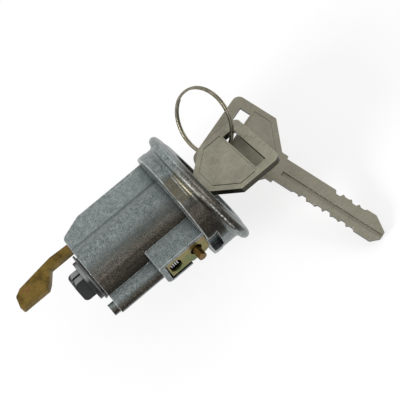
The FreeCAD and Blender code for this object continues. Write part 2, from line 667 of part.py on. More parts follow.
def make_rotor():
    """The rotor: head, barrel with keyway and wafer slots, clip groove and drive tang."""
    barrel = rod("rotor_barrel", "rotor_radius", "y", ("-rotor_front", "body_length + rotor_tail"))
    head = rod("rotor_head", "head_radius", "y", ("-rotor_front", "-rotor_front + head_length"))
    tang = block("tang", ("-tang_thickness / 2", "tang_thickness / 2"),
                 ("body_length", "body_length + rotor_tail + tang_length"),
                 ("-tang_width / 2", "tang_width / 2"))

    def end_corner(edge):
        end = size("body_length") + size("rotor_tail") + size("tang_length")
        return all(abs(vertex.Point.y - end) < TOUCH for vertex in edge.Vertexes) \
            and abs(edge.Length - size("tang_thickness")) < TOUCH

    tang = round_edges("rounded_tang", tang, "tang_rounding", end_corner)
    solid = fuse("rotor_blank", barrel, head, tang)
    keyway = block("keyway", ("-blade_half_width - keyway_gap", "blade_half_width + keyway_gap"),
                   ("-2 * rotor_front", KEY_SEAT + " + " + BLADE_LENGTH + " + 2 * keyway_gap"),
                   ("-key_thickness / 2 - keyway_gap", "key_thickness / 2 + keyway_gap"))
    groove = turned("clip_groove", [
        ("rotor_radius - clip_seat", CLIP_START + " - stack_gap"),
        ("2 * rotor_radius", CLIP_START + " - stack_gap"),
        ("2 * rotor_radius", CLIP_START + " + clip_thickness + stack_gap"),
        ("rotor_radius - clip_seat", CLIP_START + " + clip_thickness + stack_gap")])
    tools = [keyway, groove]
    for side in (-1, 1):
        tools.append(block("tang_groove_%d" % (side + 1), ("-tang_groove / 2", "tang_groove / 2"),
                           ("body_length + rotor_tail", "2 * body_length"),
                           span(side, "tang_width / 2 - tang_groove_depth", "tang_width")))
    for number in range(WAFERS):
        side = wafer_side(number)
        tools.append(block("wafer_slot_%d" % number, ("-2 * rotor_radius", "2 * rotor_radius"),
                           wafer_limits(number, "wafer_gap"),
                           ("-wafer_half_width - wafer_gap", "wafer_half_width + wafer_gap")))
        tools.append(block("lug_slot_%d" % number,
                           span(side, "-lug_length / 2 - wafer_travel", "lug_length / 2 + wafer_gap"),
                           wafer_limits(number, "wafer_gap"), span(side, "0", "lug_reach + wafer_gap")))
        tools.append(rod("spring_hole_%d" % number, "wafer_spring_radius + wafer_spring_wire", "x",
                         span(side, "0", "wafer_spring_end"),
                         y=wafer_place(number), z=signed(side, SPRING_HEIGHT)))
    tools.append(block("shutter_pocket", ("-shutter_half_width - shutter_end_room",
                                          "shutter_half_width + shutter_end_room"),
                       ("-rotor_front", SHUTTER_PLACE + " + shutter_length + stack_gap"),
                       ("key_thickness / 2", SHUTTER_HEIGHT + " + shutter_barrel + stack_gap")))
    tools.append(rod("shutter_pin_hole", "shutter_pin_radius + pin_gap", "x",
                     ("-shutter_pin_half_length", "shutter_pin_half_length"),
                     y=SHUTTER_PLACE, z=SHUTTER_HEIGHT))
    return with_key("rotor", cut("rotor_cut", solid, *tools))


def make_cap():
    """The pressed cap over the rotor's head, with the key's slot in its face."""
    cup = turned("cap_cup", [
        ("0", KEY_SEAT), ("head_radius", KEY_SEAT), ("head_radius + cap_thickness", "-rotor_front"),
        ("head_radius + cap_thickness", "-rotor_front + cap_skirt"),
        ("head_radius", "-rotor_front + cap_skirt"),
        ("head_radius", "-rotor_front"), ("0", "-rotor_front")])
    slot = block("cap_slot", ("-blade_half_width - keyway_gap", "blade_half_width + keyway_gap"),
                 ("-2 * rotor_front", "0"),
                 ("-key_thickness / 2 - keyway_gap", "key_thickness / 2 + keyway_gap"))
    return with_key("rotor_cap", cut("cap_cut", cup, slot))


def make_shutter():
    """The flap that closes the keyway, held open flat beside the blade."""
    barrel = rod("shutter_barrel_rod", "shutter_barrel", "x", ("-shutter_half_width", SPRING_SIDE),
                 y=SHUTTER_PLACE, z=SHUTTER_HEIGHT)
    under = SHUTTER_HEIGHT + " - shutter_barrel"
    flap = block("shutter_flap", ("-shutter_half_width", SPRING_SIDE),
                 (SHUTTER_PLACE, SHUTTER_PLACE + " + shutter_length"),
                 (under, under + " + shutter_thickness"))
    bore = rod("shutter_bore", "shutter_pin_radius + pin_gap", "x", ("-2 * rotor_radius", "2 * rotor_radius"),
               y=SHUTTER_PLACE, z=SHUTTER_HEIGHT)
    return with_key("keyway_shutter", cut("shutter_cut", fuse("shutter_blank", barrel, flap), bore))


def make_shutter_spring():
    """The small torsion coil on the pin, beside the flap's barrel."""
    wire = size("wafer_spring_wire")
    radius = size("shutter_pin_radius") + size("pin_gap") + wire
    winding = shaped("shutter_winding", coil(radius, wire, SHUTTER_SPRING_PITCH * wire, SHUTTER_SPRING_TURNS),
                     Placement(Vector(), ALONG["x"]), {
                         "Placement.Base.x": SPRING_SIDE + " + wafer_spring_wire",
                         "Placement.Base.y": SHUTTER_PLACE,
                         "Placement.Base.z": SHUTTER_HEIGHT})
    return with_key("shutter_spring", winding)


def make_wafer(number):
    """One wafer, held flush with the rotor by the cut that it reads."""
    side = wafer_side(number)
    name = "wafer_%d" % (number + 1)
    plate = common(name + "_plate",
                   rod(name + "_round", "rotor_radius - wafer_gap", "y", wafer_limits(number)),
                   block(name + "_strip", ("-rotor_radius", "rotor_radius"), wafer_limits(number),
                         ("-wafer_half_width", "wafer_half_width")))
    lug = block(name + "_lug", ("-lug_length / 2", "lug_length / 2"), wafer_limits(number),
                span(side, "wafer_half_width / 2 + key_thickness / 2", "lug_reach"))
    window = block(name + "_window",
                   span(side, "-blade_half_width - keyway_gap", "blade_half_width - cut_%d" % (number + 1)),
                   wafer_limits(number, "wafer_gap"),
                   ("-key_thickness / 2 - keyway_gap", "key_thickness / 2 + keyway_gap"))
    return with_key(name, cut(name + "_cut", fuse(name + "_blank", plate, lug), window))


def make_wafer_springs():
    """The eight small springs between the rotor and the wafers' lugs."""
    wire = size("wafer_spring_wire")
    length = size("wafer_spring_end") - size("lug_length") / 2 - 2 * wire
    coils = []
    for number in range(WAFERS):
        side = wafer_side(number)
        winding = coil(size("wafer_spring_radius"), wire, length / WAFER_SPRING_TURNS, WAFER_SPRING_TURNS)
        coils.append(shaped("wafer_spring_%d" % (number + 1), winding,
                            Placement(Vector(), Rotation(Y_AXIS, side * FULL_TURN / 4)), {
                                "Placement.Base.x": signed(side, "lug_length / 2 + wafer_spring_wire"),
                                "Placement.Base.y": wafer_place(number),
                                "Placement.Base.z": signed(side, SPRING_HEIGHT)}))
    return with_key("wafer_springs", gather("level_springs", *coils))


def inset_head(name, inset, far, heights):
    """The head's outline behind the slot, drawn in by an inset, between two heights."""
    near = ("key_neck - %s * (%s)" % (NECK_SLIP, inset), "-key_shoulder - (%s)" % inset)
    shoulder = ("key_head_half_width - (%s)" % inset, "key_side_length - key_head_length - %s * (%s)"
                % (SIDE_SLIP, inset))
    far_end = (shoulder[0], far)
    right = [near, shoulder, far_end]
    left = [("-(%s)" % x, y) for x, y in reversed(right)]
    return slice_between(name, right + left, heights)


def engraved_border(name, side):
    """The line engraved round the flat of the head, on one face of the key."""
    heights = span(side, "key_thickness / 2 - border_depth", "key_thickness")
    inner_heights = span(side, "key_thickness / 2 - 2 * border_depth", "2 * key_thickness")
    far = "slot_inset - key_head_length + slot_half_width + border_margin"
    outer = inset_head(name + "_outer", "border_inset", far, heights)
    inner = inset_head(name + "_inner", "border_inset + border_width", far + " + border_width", inner_heights)
    return cut(name, outer, inner)


def make_key(name):
    """One double-sided key: the root is at the origin and the blade runs along +Y."""
    edge = [("blade_half_width", "0")]
    other = [("-blade_half_width", "0")]
    for number in range(WAFERS):
        middle = "first_cut + %d * cut_pitch" % number
        depth = "cut_%d" % (number + 1)
        for rail, sign in ((edge, ""), (other, "-")):
            if rail is other and wafer_side(number) > 0:
                continue
            rail.append(("%sblade_half_width" % sign, middle + " - cut_flat / 2 - cut_slope"))
            rail.append(("%s(blade_half_width - %s)" % (sign, depth), middle + " - cut_flat / 2"))
            rail.append(("%s(blade_half_width - %s)" % (sign, depth), middle + " + cut_flat / 2"))
            rail.append(("%sblade_half_width" % sign, middle + " + cut_flat / 2 + cut_slope"))
    tip = [("blade_half_width", BLADE_LENGTH + " - tip_length / 2"), ("tip_edge", BLADE_LENGTH),
           ("-tip_other_edge", BLADE_LENGTH), ("-blade_half_width", BLADE_LENGTH + " - tip_length")]
    head = [("-key_neck", "0"), ("-key_neck", "-key_shoulder"),
            ("-key_head_half_width", "key_side_length - key_head_length"),
            ("-key_head_half_width", "-key_head_length"), ("key_head_half_width", "-key_head_length"),
            ("key_head_half_width", "key_side_length - key_head_length"),
            ("key_neck", "-key_shoulder"), ("key_neck", "0")]
    plate = slice_between(name + "_plate", edge + tip + other[::-1] + head,
                          ("-key_thickness / 2", "key_thickness / 2"))

    def far_corner(edge):
        ends = [vertex.Point for vertex in edge.Vertexes]
        return edge.Length < size("key_thickness") + TOUCH and all(
            abs(end.y + size("key_head_length")) < TOUCH for end in ends)

    plate = round_edges(name + "_head", plate, "head_corner", far_corner)
    middle = "slot_inset - key_head_length"
    slot = block(name + "_slot", ("-slot_half_length", "slot_half_length"),
                 (middle + " - slot_half_width", middle + " + slot_half_width"),
                 ("-key_thickness", "key_thickness"))
    wards = [block("%s_ward_%d" % (name, side + 1),
                   span(side, "ward_offset - ward_width / 2", "ward_offset + ward_width / 2"),
                   ("ward_width", "2 * " + BLADE_LENGTH),
                   span(side, "key_thickness / 2 - ward_depth", "key_thickness")) for side in (-1, 1)]
    borders = [engraved_border("%s_border_%d" % (name, side + 1), side) for side in (-1, 1)]
    return cut(name, plate, slot, *wards, *borders)


def make_lever():
    """The flat steel lever: front arm, pivot eye, neck and stepped paddle."""
    body = document.addObject("PartDesign::Body", "lever")
    tail = "body_length + lever_reach"
    step = "body_length + paddle_start + paddle_step"
    foot = PLUNGER_PLACE
    profile = outline("lever_profile", [
        ("lever_foot", foot + " - plunger_radius"), ("lever_foot", foot + " + 2 * plunger_radius"),
        ("lever_neck_inner", foot + " + 3 * plunger_radius"),
        ("lever_neck_inner", "body_length + paddle_start"),
        ("paddle_inner + paddle_knee_rise", step + " - paddle_knee"), ("paddle_inner", step),
        ("paddle_inner", tail + " - paddle_heel"), ("paddle_inner + paddle_heel_width", tail),
        ("paddle_outer - paddle_toe_width", tail + " - paddle_end_drop"),
        ("paddle_outer", tail + " - paddle_toe"),
        ("lever_hump", "body_length + paddle_start - paddle_hump_lead"),
        ("lever_neck_outer", "body_length"), ("lever_neck_outer", "lever_pivot + lever_eye_radius"),
        ("lever_arm_top", "lever_pivot - lever_eye_radius"), ("lever_arm_top", foot + " - plunger_radius")],
        body)
    pad(body, profile, "lever_thickness", midplane=True)
    eye = circle("lever_eye", "lever_eye_radius", "lever_pivot_reach", "lever_pivot", body)
    pad(body, eye, "lever_thickness", midplane=True)
    document.recompute()
    pocket(body, circle("lever_bore", "lever_pin_radius + pin_gap", "lever_pivot_reach", "lever_pivot", body))
    return body


def make_lever_spring():
    """The compression spring between the cover and the lever's front arm."""
    wire = size("lever_spring_wire")
    room = size("slab_reach") - size("cover_thickness") - size("lever_arm_top")
    climb = room - 2 * size("stack_gap") - wire
    winding = coil(size("lever_spring_radius"), wire, climb / LEVER_SPRING_TURNS, LEVER_SPRING_TURNS)
    return shaped("lever_spring", winding, Placement(Vector(), ALONG["x"]), {
        "Placement.Base.x": "lever_arm_top + stack_gap + lever_spring_wire / 2",
        "Placement.Base.y": "lever_spring_place"})


def make_latch_plate():
    """The plated steel plate over the latch box, with the pin's hole and the window."""
    body = document.addObject("PartDesign::Body", "latch_plate")
    side = "(box_half_width - box_wall - plate_gap)"
    end = "box_length - box_end_wall - plate_end_gap"
    tab = "box_cutaway - plate_corner / 2"
    profile = outline("plate_profile", [
        ("plate_gap", side), (end, side), (end, "-" + side), (tab + " + plate_corner / 2", "-" + side),
        (tab, "-%s - plate_tab" % side), ("plate_gap + plate_corner", "-%s - plate_tab" % side),
        ("plate_gap", "-%s - plate_tab + plate_corner" % side)], body, "YZ_Plane")
    pad(body, profile, "plate_thickness")
    document.recompute()
    pocket(body, circle("plate_pin_hole", "pin_hole_radius", "pin_place", "0", body, "YZ_Plane"))
    window_corners = []
    for along, up, along_first in ((-1, -1, False), (1, -1, True), (1, 1, False), (-1, 1, True)):
        for cut_back in ((1, 0) if along_first else (0, 1)):
            window_corners.append(
                ("window_place + (%d) * (window_half_length - %d * window_corner)" % (along, cut_back),
                 "(%d) * (window_half_width - %d * window_corner)" % (up, 1 - cut_back)))
    window = outline("plate_window", window_corners, body, "YZ_Plane")
    pocket(body, window)
    bind(body, {"Placement.Base.x": "-box_reach + plate_inset"})
    return body


def make_retaining_pin():
    """The sliding pin that holds the lock in its column: two flats that meet in a ridge, and a foot."""
    limits = ("-box_reach - pin_proud", PIN_FOOT)
    shaft = rod("pin_round_side", "pin_radius", "x", limits, y="pin_place", z="-pin_drop")
    ridge = gather("pin_ridge", block("pin_ridge_block", limits, ("0", "pin_radius"), ("0", "pin_radius")))
    ridge.Placement = Placement(Vector(), Rotation(X_AXIS, FULL_TURN / 8))
    bind(ridge, {"Placement.Base.y": "pin_place", "Placement.Base.z": "-pin_drop"})
    foot = block("pin_foot_block", (PIN_FOOT, PIN_FOOT + " + pin_foot"),
                 ("pin_place - pin_foot_half", "pin_place + pin_foot_half"),
                 ("-pin_foot_half", "pin_foot_half"))
    return fuse("retaining_pin", shaft, ridge, foot)


def make_latch_spring():
    """The torsion spring seen in the plate's window, with its leg under the pin's foot."""
    wire = size("latch_spring_wire")
    radius = size("latch_spring_radius")
    length = size("latch_spring_pitch") * size("latch_spring_turns")
    winding = coil(radius, wire, size("latch_spring_pitch"), size("latch_spring_turns"))
    reach = size("window_place") - length / 2 - size("pin_place") + size("pin_radius")
    leg = Part.makeCylinder(wire / 2, reach, Vector(radius, 0, 0), -Z_AXIS)
    under_plate = size("plate_inset") + size("plate_thickness") + size("pin_foot") + 2 * size("stack_gap")
    middle = size("plate_inset") + size("latch_spring_sunk") + wire / 2 + radius
    leg_turn = math.degrees(math.acos((middle - under_plate - wire / 2) / radius))
    facing_out = Placement(FreeCAD.Matrix(-1, 0, 0, 0, 0, 0, 1, 0, 0, 1, 0, 0, 0, 0, 0, 1))
    leg_down = Placement(Vector(), Rotation(Z_AXIS, leg_turn))
    top = "-box_reach + plate_inset + latch_spring_sunk"
    return shaped("latch_spring", winding.fuse(leg), facing_out.multiply(leg_down), {
        "Placement.Base.x": top + " + latch_spring_wire / 2 + latch_spring_radius",
        "Placement.Base.y": "window_place - latch_spring_pitch * latch_spring_turns / 2"})


def make_clip():
    """The open retaining clip in the rotor's groove, with its one ear."""
    inner = "rotor_radius - clip_seat + pin_gap"
    limits = (CLIP_START, CLIP_START + " + clip_thickness")
    outer = rod("clip_outer", "clip_radius", "y", limits)
    ring = cut("clip_ring", outer, rod("clip_inner", inner, "y", limits))
    mouth = block("clip_mouth", ("0", "2 * clip_radius"),
                  (CLIP_START + " - clip_thickness", "2 * body_length"),
                  ("-clip_opening / 2", "clip_opening / 2"))
    mouth = swing("clip_mouth_turned", mouth, size("clip_mouth_angle"))
    ear = block("clip_ear", ("clip_radius - clip_seat", "clip_radius + clip_seat"), limits,
                ("-clip_thickness", "clip_thickness"))
    ear = swing("clip_ear_turned", ear, size("clip_ear_angle"))
    return fuse("retaining_clip", cut("clip_open", ring, mouth), ear)


def make_ring():
    """The split ring: two flat turns of wire that cross over in one short bend."""
    wide = size("ring_wire_width") / 2
    high = size("ring_wire_height") / 2
    nip = wide / 2
    rise = size("ring_wire_width") + size("ring_wire_gap")
    corners = [(high, nip - wide), (high, wide - nip), (high - nip, wide), (nip - high, wide),
               (-high, wide - nip), (-high, nip - wide), (nip - high, -wide), (high - nip, -wide)]
    centre = size("ring_radius")
    section = Part.makePolygon([Vector(centre + across, 0, up) for across, up in corners + corners[:1]])
    turn = Part.Face(section).revolve(Vector(), Z_AXIS, FULL_TURN - RING_BEND)
    lower = turn.copy()
    lower.translate(Vector(0, 0, -rise / 2))
    upper = turn.copy()
    upper.translate(Vector(0, 0, rise / 2))
    climb = Part.makeHelix(rise * FULL_TURN / RING_BEND, rise, centre)
    crossing = Part.Wire(climb).makePipeShell([section], True, True)
    crossing.rotate(Vector(), Z_AXIS, FULL_TURN - RING_BEND)
    crossing.translate(Vector(0, 0, -rise / 2))
    ring = lower.fuse([crossing, upper])
    return shaped("split_ring", ring, Placement(RING_CENTRE, Rotation(Z_AXIS, RING_AXIS)), {})


# The casting and what stays with it.
part("housing", make_housing())
part("lever_cover", block("lever_cover", ("slab_reach - cover_thickness", "slab_reach"),
                          COVER_LIMITS, ("-slab_half_width", "slab_half_width")))
part("lever_pin", rod("lever_pin", "lever_pin_radius", "z", ("-slab_half_width", "lever_pin_end"),
                      x="lever_pivot_reach", y="lever_pivot"))
part("lever_plunger", rod("lever_plunger", "plunger_radius", "x",
                          ("rotor_radius + stack_gap", "lever_foot - stack_gap"), y=PLUNGER_PLACE))
part("lever_spring", make_lever_spring())
part("latch_plate", make_latch_plate())
part("latch_spring", make_latch_spring())

# The rotor and what turns with it.
part("rotor", make_rotor())
part("rotor_cap", make_cap())
part("keyway_shutter", make_shutter())
part("shutter_pin", with_key("shutter_pin", rod("shutter_pin_rod", "shutter_pin_radius", "x",
                                                ("-shutter_pin_half_length", "shutter_pin_half_length"),
                                                y=SHUTTER_PLACE, z=SHUTTER_HEIGHT)))
part("shutter_spring", make_shutter_spring())
for wafer_number in range(WAFERS):
    part("wafer_%d" % (wafer_number + 1), make_wafer(wafer_number))
part("wafer_springs", make_wafer_springs())
washer_limits = ("body_length + stack_gap", "body_length + stack_gap + washer_thickness")
part("thrust_washer", cut("thrust_washer", rod("washer_outer", "washer_radius", "y", washer_limits),
                          rod("washer_inner", "rotor_radius + stack_gap", "y", washer_limits)))
part("retaining_clip", make_clip())
key = part("ignition_key", make_key("ignition_key"))
key.Placement = Placement(Vector(), stored)
bind(key, {"Placement.Base.y": KEY_SEAT})

# The lever, the retaining pin, and what hangs on the key.
part("lever", make_lever())
part("retaining_pin", make_retaining_pin())
part("split_ring", make_ring())
spare = part("spare_key", make_key("spare_key"))
spare.Placement = Placement(SPARE_ROOT, spare_turn)

document.recompute()
document.recompute()
failed = [item.Name for item in document.Objects if "Invalid" in item.State or "Error" in item.State]
assert not failed, "these objects did not build: %s" % failed
for label, item in PARTS.items():
    shape = item.Shape
    assert not shape.isNull() and shape.isValid() and shape.Solids, label
    print("%-16s %d solid(s) %9.2f mm3" % (label, len(shape.Solids), shape.Volume))

os.makedirs("parts", exist_ok=True)
for label, item in PARTS.items():
    item.Shape.exportStep("parts/%s.step" % label)
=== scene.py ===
# %% [markdown]
# # An ignition lock cylinder with its keys
# The lock is a zinc casting with a slanted bezel, a latch box on one side and a lever on the other.
# A key is turned in it, and a second key hangs from the same split ring.
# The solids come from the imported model. This script gives them rounded edges and finishes,
# because bare machine-flat edges never catch the light as real castings and stampings do.

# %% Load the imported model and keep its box
import json
import math

import bmesh
import bpy
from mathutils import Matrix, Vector


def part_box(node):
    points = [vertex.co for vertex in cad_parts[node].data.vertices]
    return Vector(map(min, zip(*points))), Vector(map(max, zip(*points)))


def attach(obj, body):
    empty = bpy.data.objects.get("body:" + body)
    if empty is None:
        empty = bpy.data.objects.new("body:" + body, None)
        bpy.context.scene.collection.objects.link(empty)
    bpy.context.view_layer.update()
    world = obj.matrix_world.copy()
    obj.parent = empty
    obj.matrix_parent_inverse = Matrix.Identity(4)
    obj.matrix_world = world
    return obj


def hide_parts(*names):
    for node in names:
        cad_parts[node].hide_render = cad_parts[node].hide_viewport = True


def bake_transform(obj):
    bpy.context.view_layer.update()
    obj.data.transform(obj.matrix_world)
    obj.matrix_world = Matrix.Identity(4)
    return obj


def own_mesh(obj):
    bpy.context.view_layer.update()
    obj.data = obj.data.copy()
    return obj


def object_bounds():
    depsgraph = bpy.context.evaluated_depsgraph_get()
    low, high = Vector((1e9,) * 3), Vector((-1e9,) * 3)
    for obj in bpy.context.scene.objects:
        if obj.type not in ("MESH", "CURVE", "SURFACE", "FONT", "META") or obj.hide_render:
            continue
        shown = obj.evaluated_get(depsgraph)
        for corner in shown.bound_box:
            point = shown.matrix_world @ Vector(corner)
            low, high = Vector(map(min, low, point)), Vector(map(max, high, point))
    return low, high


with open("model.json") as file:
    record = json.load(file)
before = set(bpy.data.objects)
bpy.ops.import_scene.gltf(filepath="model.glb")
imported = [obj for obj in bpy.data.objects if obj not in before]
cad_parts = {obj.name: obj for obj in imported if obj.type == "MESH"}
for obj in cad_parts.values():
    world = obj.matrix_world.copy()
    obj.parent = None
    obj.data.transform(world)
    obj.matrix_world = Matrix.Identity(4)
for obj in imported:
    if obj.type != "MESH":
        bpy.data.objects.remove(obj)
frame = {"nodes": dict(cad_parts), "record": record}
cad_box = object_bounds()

MM = 0.001

# %% [markdown]
# ## The camera
# The camera looks down on the lock from behind its latch box, so the rear end, the box and both
# keys show at once. A short lens would have to stand near, and the parts closest to it would
# swell. This one is long and stands well back.

# %% Camera
CAMERA_PLACE = (-0.208343, 0.027777, 0.346670)  # metres
CAMERA_TURN = (0.4717067, 0.2723183, -2.2246249)  # radians
LENS = 112.99
SENSOR = 36

lens = bpy.data.cameras.new("camera")
lens.lens = LENS
lens.sensor_width = SENSOR
camera = bpy.data.objects.new("camera", lens)
camera.location = CAMERA_PLACE
camera.rotation_euler = CAMERA_TURN
bpy.context.scene.collection.objects.link(camera)
bpy.context.scene.camera = camera
print("camera stands", round(camera.location.length, 3), "m from the lock")

# %% [markdown]
# ## Light
# Metal shows what stands around it more than its own colour. The lamps stand where no large flat
# face mirrors them towards the camera: they only draw bright lines along rims and fillets.
# The view transform is Standard, so a colour comes out about as it is written.

# %% Lamps
LAMPS = (
    # name, place and width in metres, power in watts
    ("rear_window", (-0.13, 0.68, 0.35), 0.24, 5.5),
    ("near_fill", (-0.22, -0.62, 0.30), 0.40, 1.6),
    ("far_fill", (0.34, -0.60, 0.40), 0.50, 1.6),
)
AIM = Vector((0.0, 0.0, 0.0))


def add_lamp(name, place, width, power):
    """A round lamp that faces the lock."""
    data = bpy.data.lights.new(name, "AREA")
    data.shape = "DISK"
    data.size = width
    data.energy = power
    lamp = bpy.data.objects.new(name, data)
    lamp.location = place
    lamp.rotation_euler = (AIM - Vector(place)).to_track_quat("-Z", "Y").to_euler()
    bpy.context.scene.collection.objects.link(lamp)


for name, place, width, power in LAMPS:
    add_lamp(name, place, width, power)
    print("lamp", name, power, "W")
bpy.context.scene.view_settings.view_transform = "Standard"

# %% [markdown]
# ### The white room
# The room is plain white, so a flat face shows its own tone. What is seen of the room, straight or
# mirrored, is pure white, while the light that it casts is dimmer, so that pale faces don't clip.
# One strength can't be both, so the kind of ray picks it.

# %% World
WHITE = (1.0, 1.0, 1.0, 1.0)
SEEN_STRENGTH = 1.0
CAST_STRENGTH = 0.60


def sees_background(tree):
    """1 for rays that look at the background, straight, mirrored or through something clear."""
    path = tree.nodes.new("ShaderNodeLightPath")
    total = path.outputs["Is Camera Ray"]
    for name in ("Is Glossy Ray", "Is Transmission Ray"):
        either = tree.nodes.new("ShaderNodeMath")
        either.operation = "MAXIMUM"
        tree.links.new(total, either.inputs[0])
        tree.links.new(path.outputs[name], either.inputs[1])
        total = either.outputs[0]
    return total


world = bpy.data.worlds.new("studio")
world.use_nodes = True
bpy.context.scene.world = world
room = world.node_tree
cast = room.nodes["Background"]
cast.inputs["Color"].default_value = WHITE
cast.inputs["Strength"].default_value = CAST_STRENGTH
seen = room.nodes.new("ShaderNodeBackground")
seen.inputs["Color"].default_value = WHITE
seen.inputs["Strength"].default_value = SEEN_STRENGTH
picked = room.nodes.new("ShaderNodeMixShader")
room.links.new(sees_background(room), picked.inputs[0])
room.links.new(cast.outputs[0], picked.inputs[1])
room.links.new(seen.outputs[0], picked.inputs[2])
room.links.new(picked.outputs[0], room.nodes["World Output"].inputs[0])
print("room:", SEEN_STRENGTH, "as seen,", CAST_STRENGTH, "on the lock")

# %% [markdown]
# ## The floor
# A pale sheet lies under the lowest point. Seen directly or mirrored it glows white, as a
# light table does, and a share of plain diffuse white lets the shadow stay on it.

# %% Floor
FLOOR_SIZE = 4.0
FLOOR_DROP = 0.3 * MM

lowest = min(corner[2] for corner in cad_box)
sheet = bmesh.new()
bmesh.ops.create_grid(sheet, x_segments=1, y_segments=1, size=FLOOR_SIZE / 2)
bmesh.ops.translate(sheet, verts=sheet.verts, vec=(0, 0, lowest - FLOOR_DROP))
floor_mesh = bpy.data.meshes.new("floor")
sheet.to_mesh(floor_mesh)
sheet.free()
floor = bpy.data.objects.new("floor", floor_mesh)
bpy.context.scene.collection.objects.link(floor)
print("floor at", round(lowest / MM, 2), "mm")

# %% The floor's paper
PAPER_TONE = (0.85, 0.85, 0.85, 1.0)
PAPER_ROUGHNESS = 0.9
FLOOR_GLOW = 0.7

paper = bpy.data.materials.new("pale_floor")
paper.use_nodes = True
tree = paper.node_tree
matt = tree.nodes["Principled BSDF"]
matt.inputs["Base Color"].default_value = PAPER_TONE
matt.inputs["Roughness"].default_value = PAPER_ROUGHNESS
glow = tree.nodes.new("ShaderNodeEmission")
glow.inputs["Strength"].default_value = SEEN_STRENGTH
share = tree.nodes.new("ShaderNodeMath")
share.operation = "MULTIPLY"
share.inputs[1].default_value = FLOOR_GLOW
tree.links.new(sees_background(tree), share.inputs[0])
blend = tree.nodes.new("ShaderNodeMixShader")
tree.links.new(share.outputs[0], blend.inputs[0])
tree.links.new(matt.outputs[0], blend.inputs[1])
tree.links.new(glow.outputs[0], blend.inputs[2])
tree.links.new(blend.outputs[0], tree.nodes["Material Output"].inputs[0])
floor_mesh.materials.append(paper)
print("paper glows by", FLOOR_GLOW)

# %% [markdown]
# ## Building blocks for finishes
# Every finish starts from the same few nodes: a noise in the piece's own metres, a colour ramp
# that turns it into two or three tones, and a bump. Object coordinates keep the pattern fixed to
# the metal when a piece moves. Each block is a short function, so a finish reads as a recipe.

# %% Patterns and tones
def start_finish(name, metallic, roughness):
    """A new material, its shader and the object coordinates that its patterns use."""
    material = bpy.data.materials.new(name)
    material.use_nodes = True
    tree = material.node_tree
    shader = tree.nodes["Principled BSDF"]
    shader.inputs["Metallic"].default_value = metallic
    shader.inputs["Roughness"].default_value = roughness
    where = tree.nodes.new("ShaderNodeTexCoord").outputs["Object"]
    return material, tree, shader, where


def noise(tree, where, grain_mm, detail=4, roughness=0.55, stretch=(1, 1, 1)):
    """Noise whose blobs are about grain_mm across, longer along an axis with a small stretch."""
    mapping = tree.nodes.new("ShaderNodeMapping")
    mapping.inputs["Scale"].default_value = stretch
    tree.links.new(where, mapping.inputs["Vector"])
    pattern = tree.nodes.new("ShaderNodeTexNoise")
    pattern.inputs["Scale"].default_value = 1 / (grain_mm * MM)
    pattern.inputs["Detail"].default_value = detail
    pattern.inputs["Roughness"].default_value = roughness
    tree.links.new(mapping.outputs[0], pattern.inputs["Vector"])
    return pattern.outputs[0]


def tones(tree, factor, stops):
    """A colour ramp through (place, (r, g, b)) stops."""
    ramp = tree.nodes.new("ShaderNodeValToRGB")
    elements = ramp.color_ramp.elements
    while len(elements) < len(stops):
        elements.new(0.5)
    for element, (place, colour) in zip(elements, stops):
        element.position = place
        element.color = (*colour, 1.0)
    tree.links.new(factor, ramp.inputs[0])
    return ramp.outputs[0]


def level(tree, factor, low, high, out_low=0.0, out_high=1.0):
    """Spreads the values from low to high over the output's range, and holds it beyond them."""
    remap = tree.nodes.new("ShaderNodeMapRange")
    remap.inputs["From Min"].default_value = low
    remap.inputs["From Max"].default_value = high
    remap.inputs["To Min"].default_value = out_low
    remap.inputs["To Max"].default_value = out_high
    tree.links.new(factor, remap.inputs["Value"])
    return remap.outputs[0]


print("patterns and tones ready")

# %% Mixing and reckoning
COLOUR_A, COLOUR_B, COLOUR_OUT = 6, 7, 2  # the Mix node has a set of sockets for each kind of data


def feed(tree, socket, value):
    """Gives a socket a number, a colour or another node's output."""
    if isinstance(value, bpy.types.NodeSocket):
        tree.links.new(value, socket)
    elif isinstance(value, tuple):
        socket.default_value = (*value, 1.0)
    else:
        socket.default_value = value


def mix(tree, factor, first, second, way="MIX"):
    """Two colours mixed by a factor; each may be a colour or a socket."""
    node = tree.nodes.new("ShaderNodeMix")
    node.data_type = "RGBA"
    node.blend_type = way
    feed(tree, node.inputs["Factor"], factor)
    feed(tree, node.inputs[COLOUR_A], first)
    feed(tree, node.inputs[COLOUR_B], second)
    return node.outputs[COLOUR_OUT]


def reckon(tree, operation, first, second=0.0):
    """One arithmetic step on one or two values, each a number or a socket."""
    node = tree.nodes.new("ShaderNodeMath")
    node.operation = operation
    feed(tree, node.inputs[0], first)
    feed(tree, node.inputs[1], second)
    return node.outputs[0]


def product(tree, *factors):
    """All the factors multiplied, which leaves only what every mask allows."""
    total = factors[0]
    for factor in factors[1:]:
        total = reckon(tree, "MULTIPLY", total, factor)
    return total


def weighted(tree, first, first_share, second, second_share):
    """The sum of two values, each times its own share."""
    return reckon(tree, "ADD", reckon(tree, "MULTIPLY", first, first_share),
                  reckon(tree, "MULTIPLY", second, second_share))


def band(tree, value, low, high, soft):
    """1 between two limits, with soft ends."""
    rise = level(tree, value, low - soft, low + soft)
    fall = level(tree, value, high - soft, high + soft, 1.0, 0.0)
    return reckon(tree, "MULTIPLY", rise, fall)


print("mixing and reckoning ready")

# %% [markdown]
# ### Relief, wear, dirt and painted shade
# Hands polish what sticks out, and dirt stays in what lies deep, where shade is painted too. Painting
# them by hand would need a picture for each piece. The Bevel node finds the edges and the ambient
# occlusion node finds the
# hollows by sending short rays from the surface, so one recipe fits every shape.

# %% Relief, wear, dirt and painted shade
SHORT_RAYS = 6
EDGE_TURN = (0.97, 0.80)  # cosine between the true and the rounded normal: unworn, fully worn


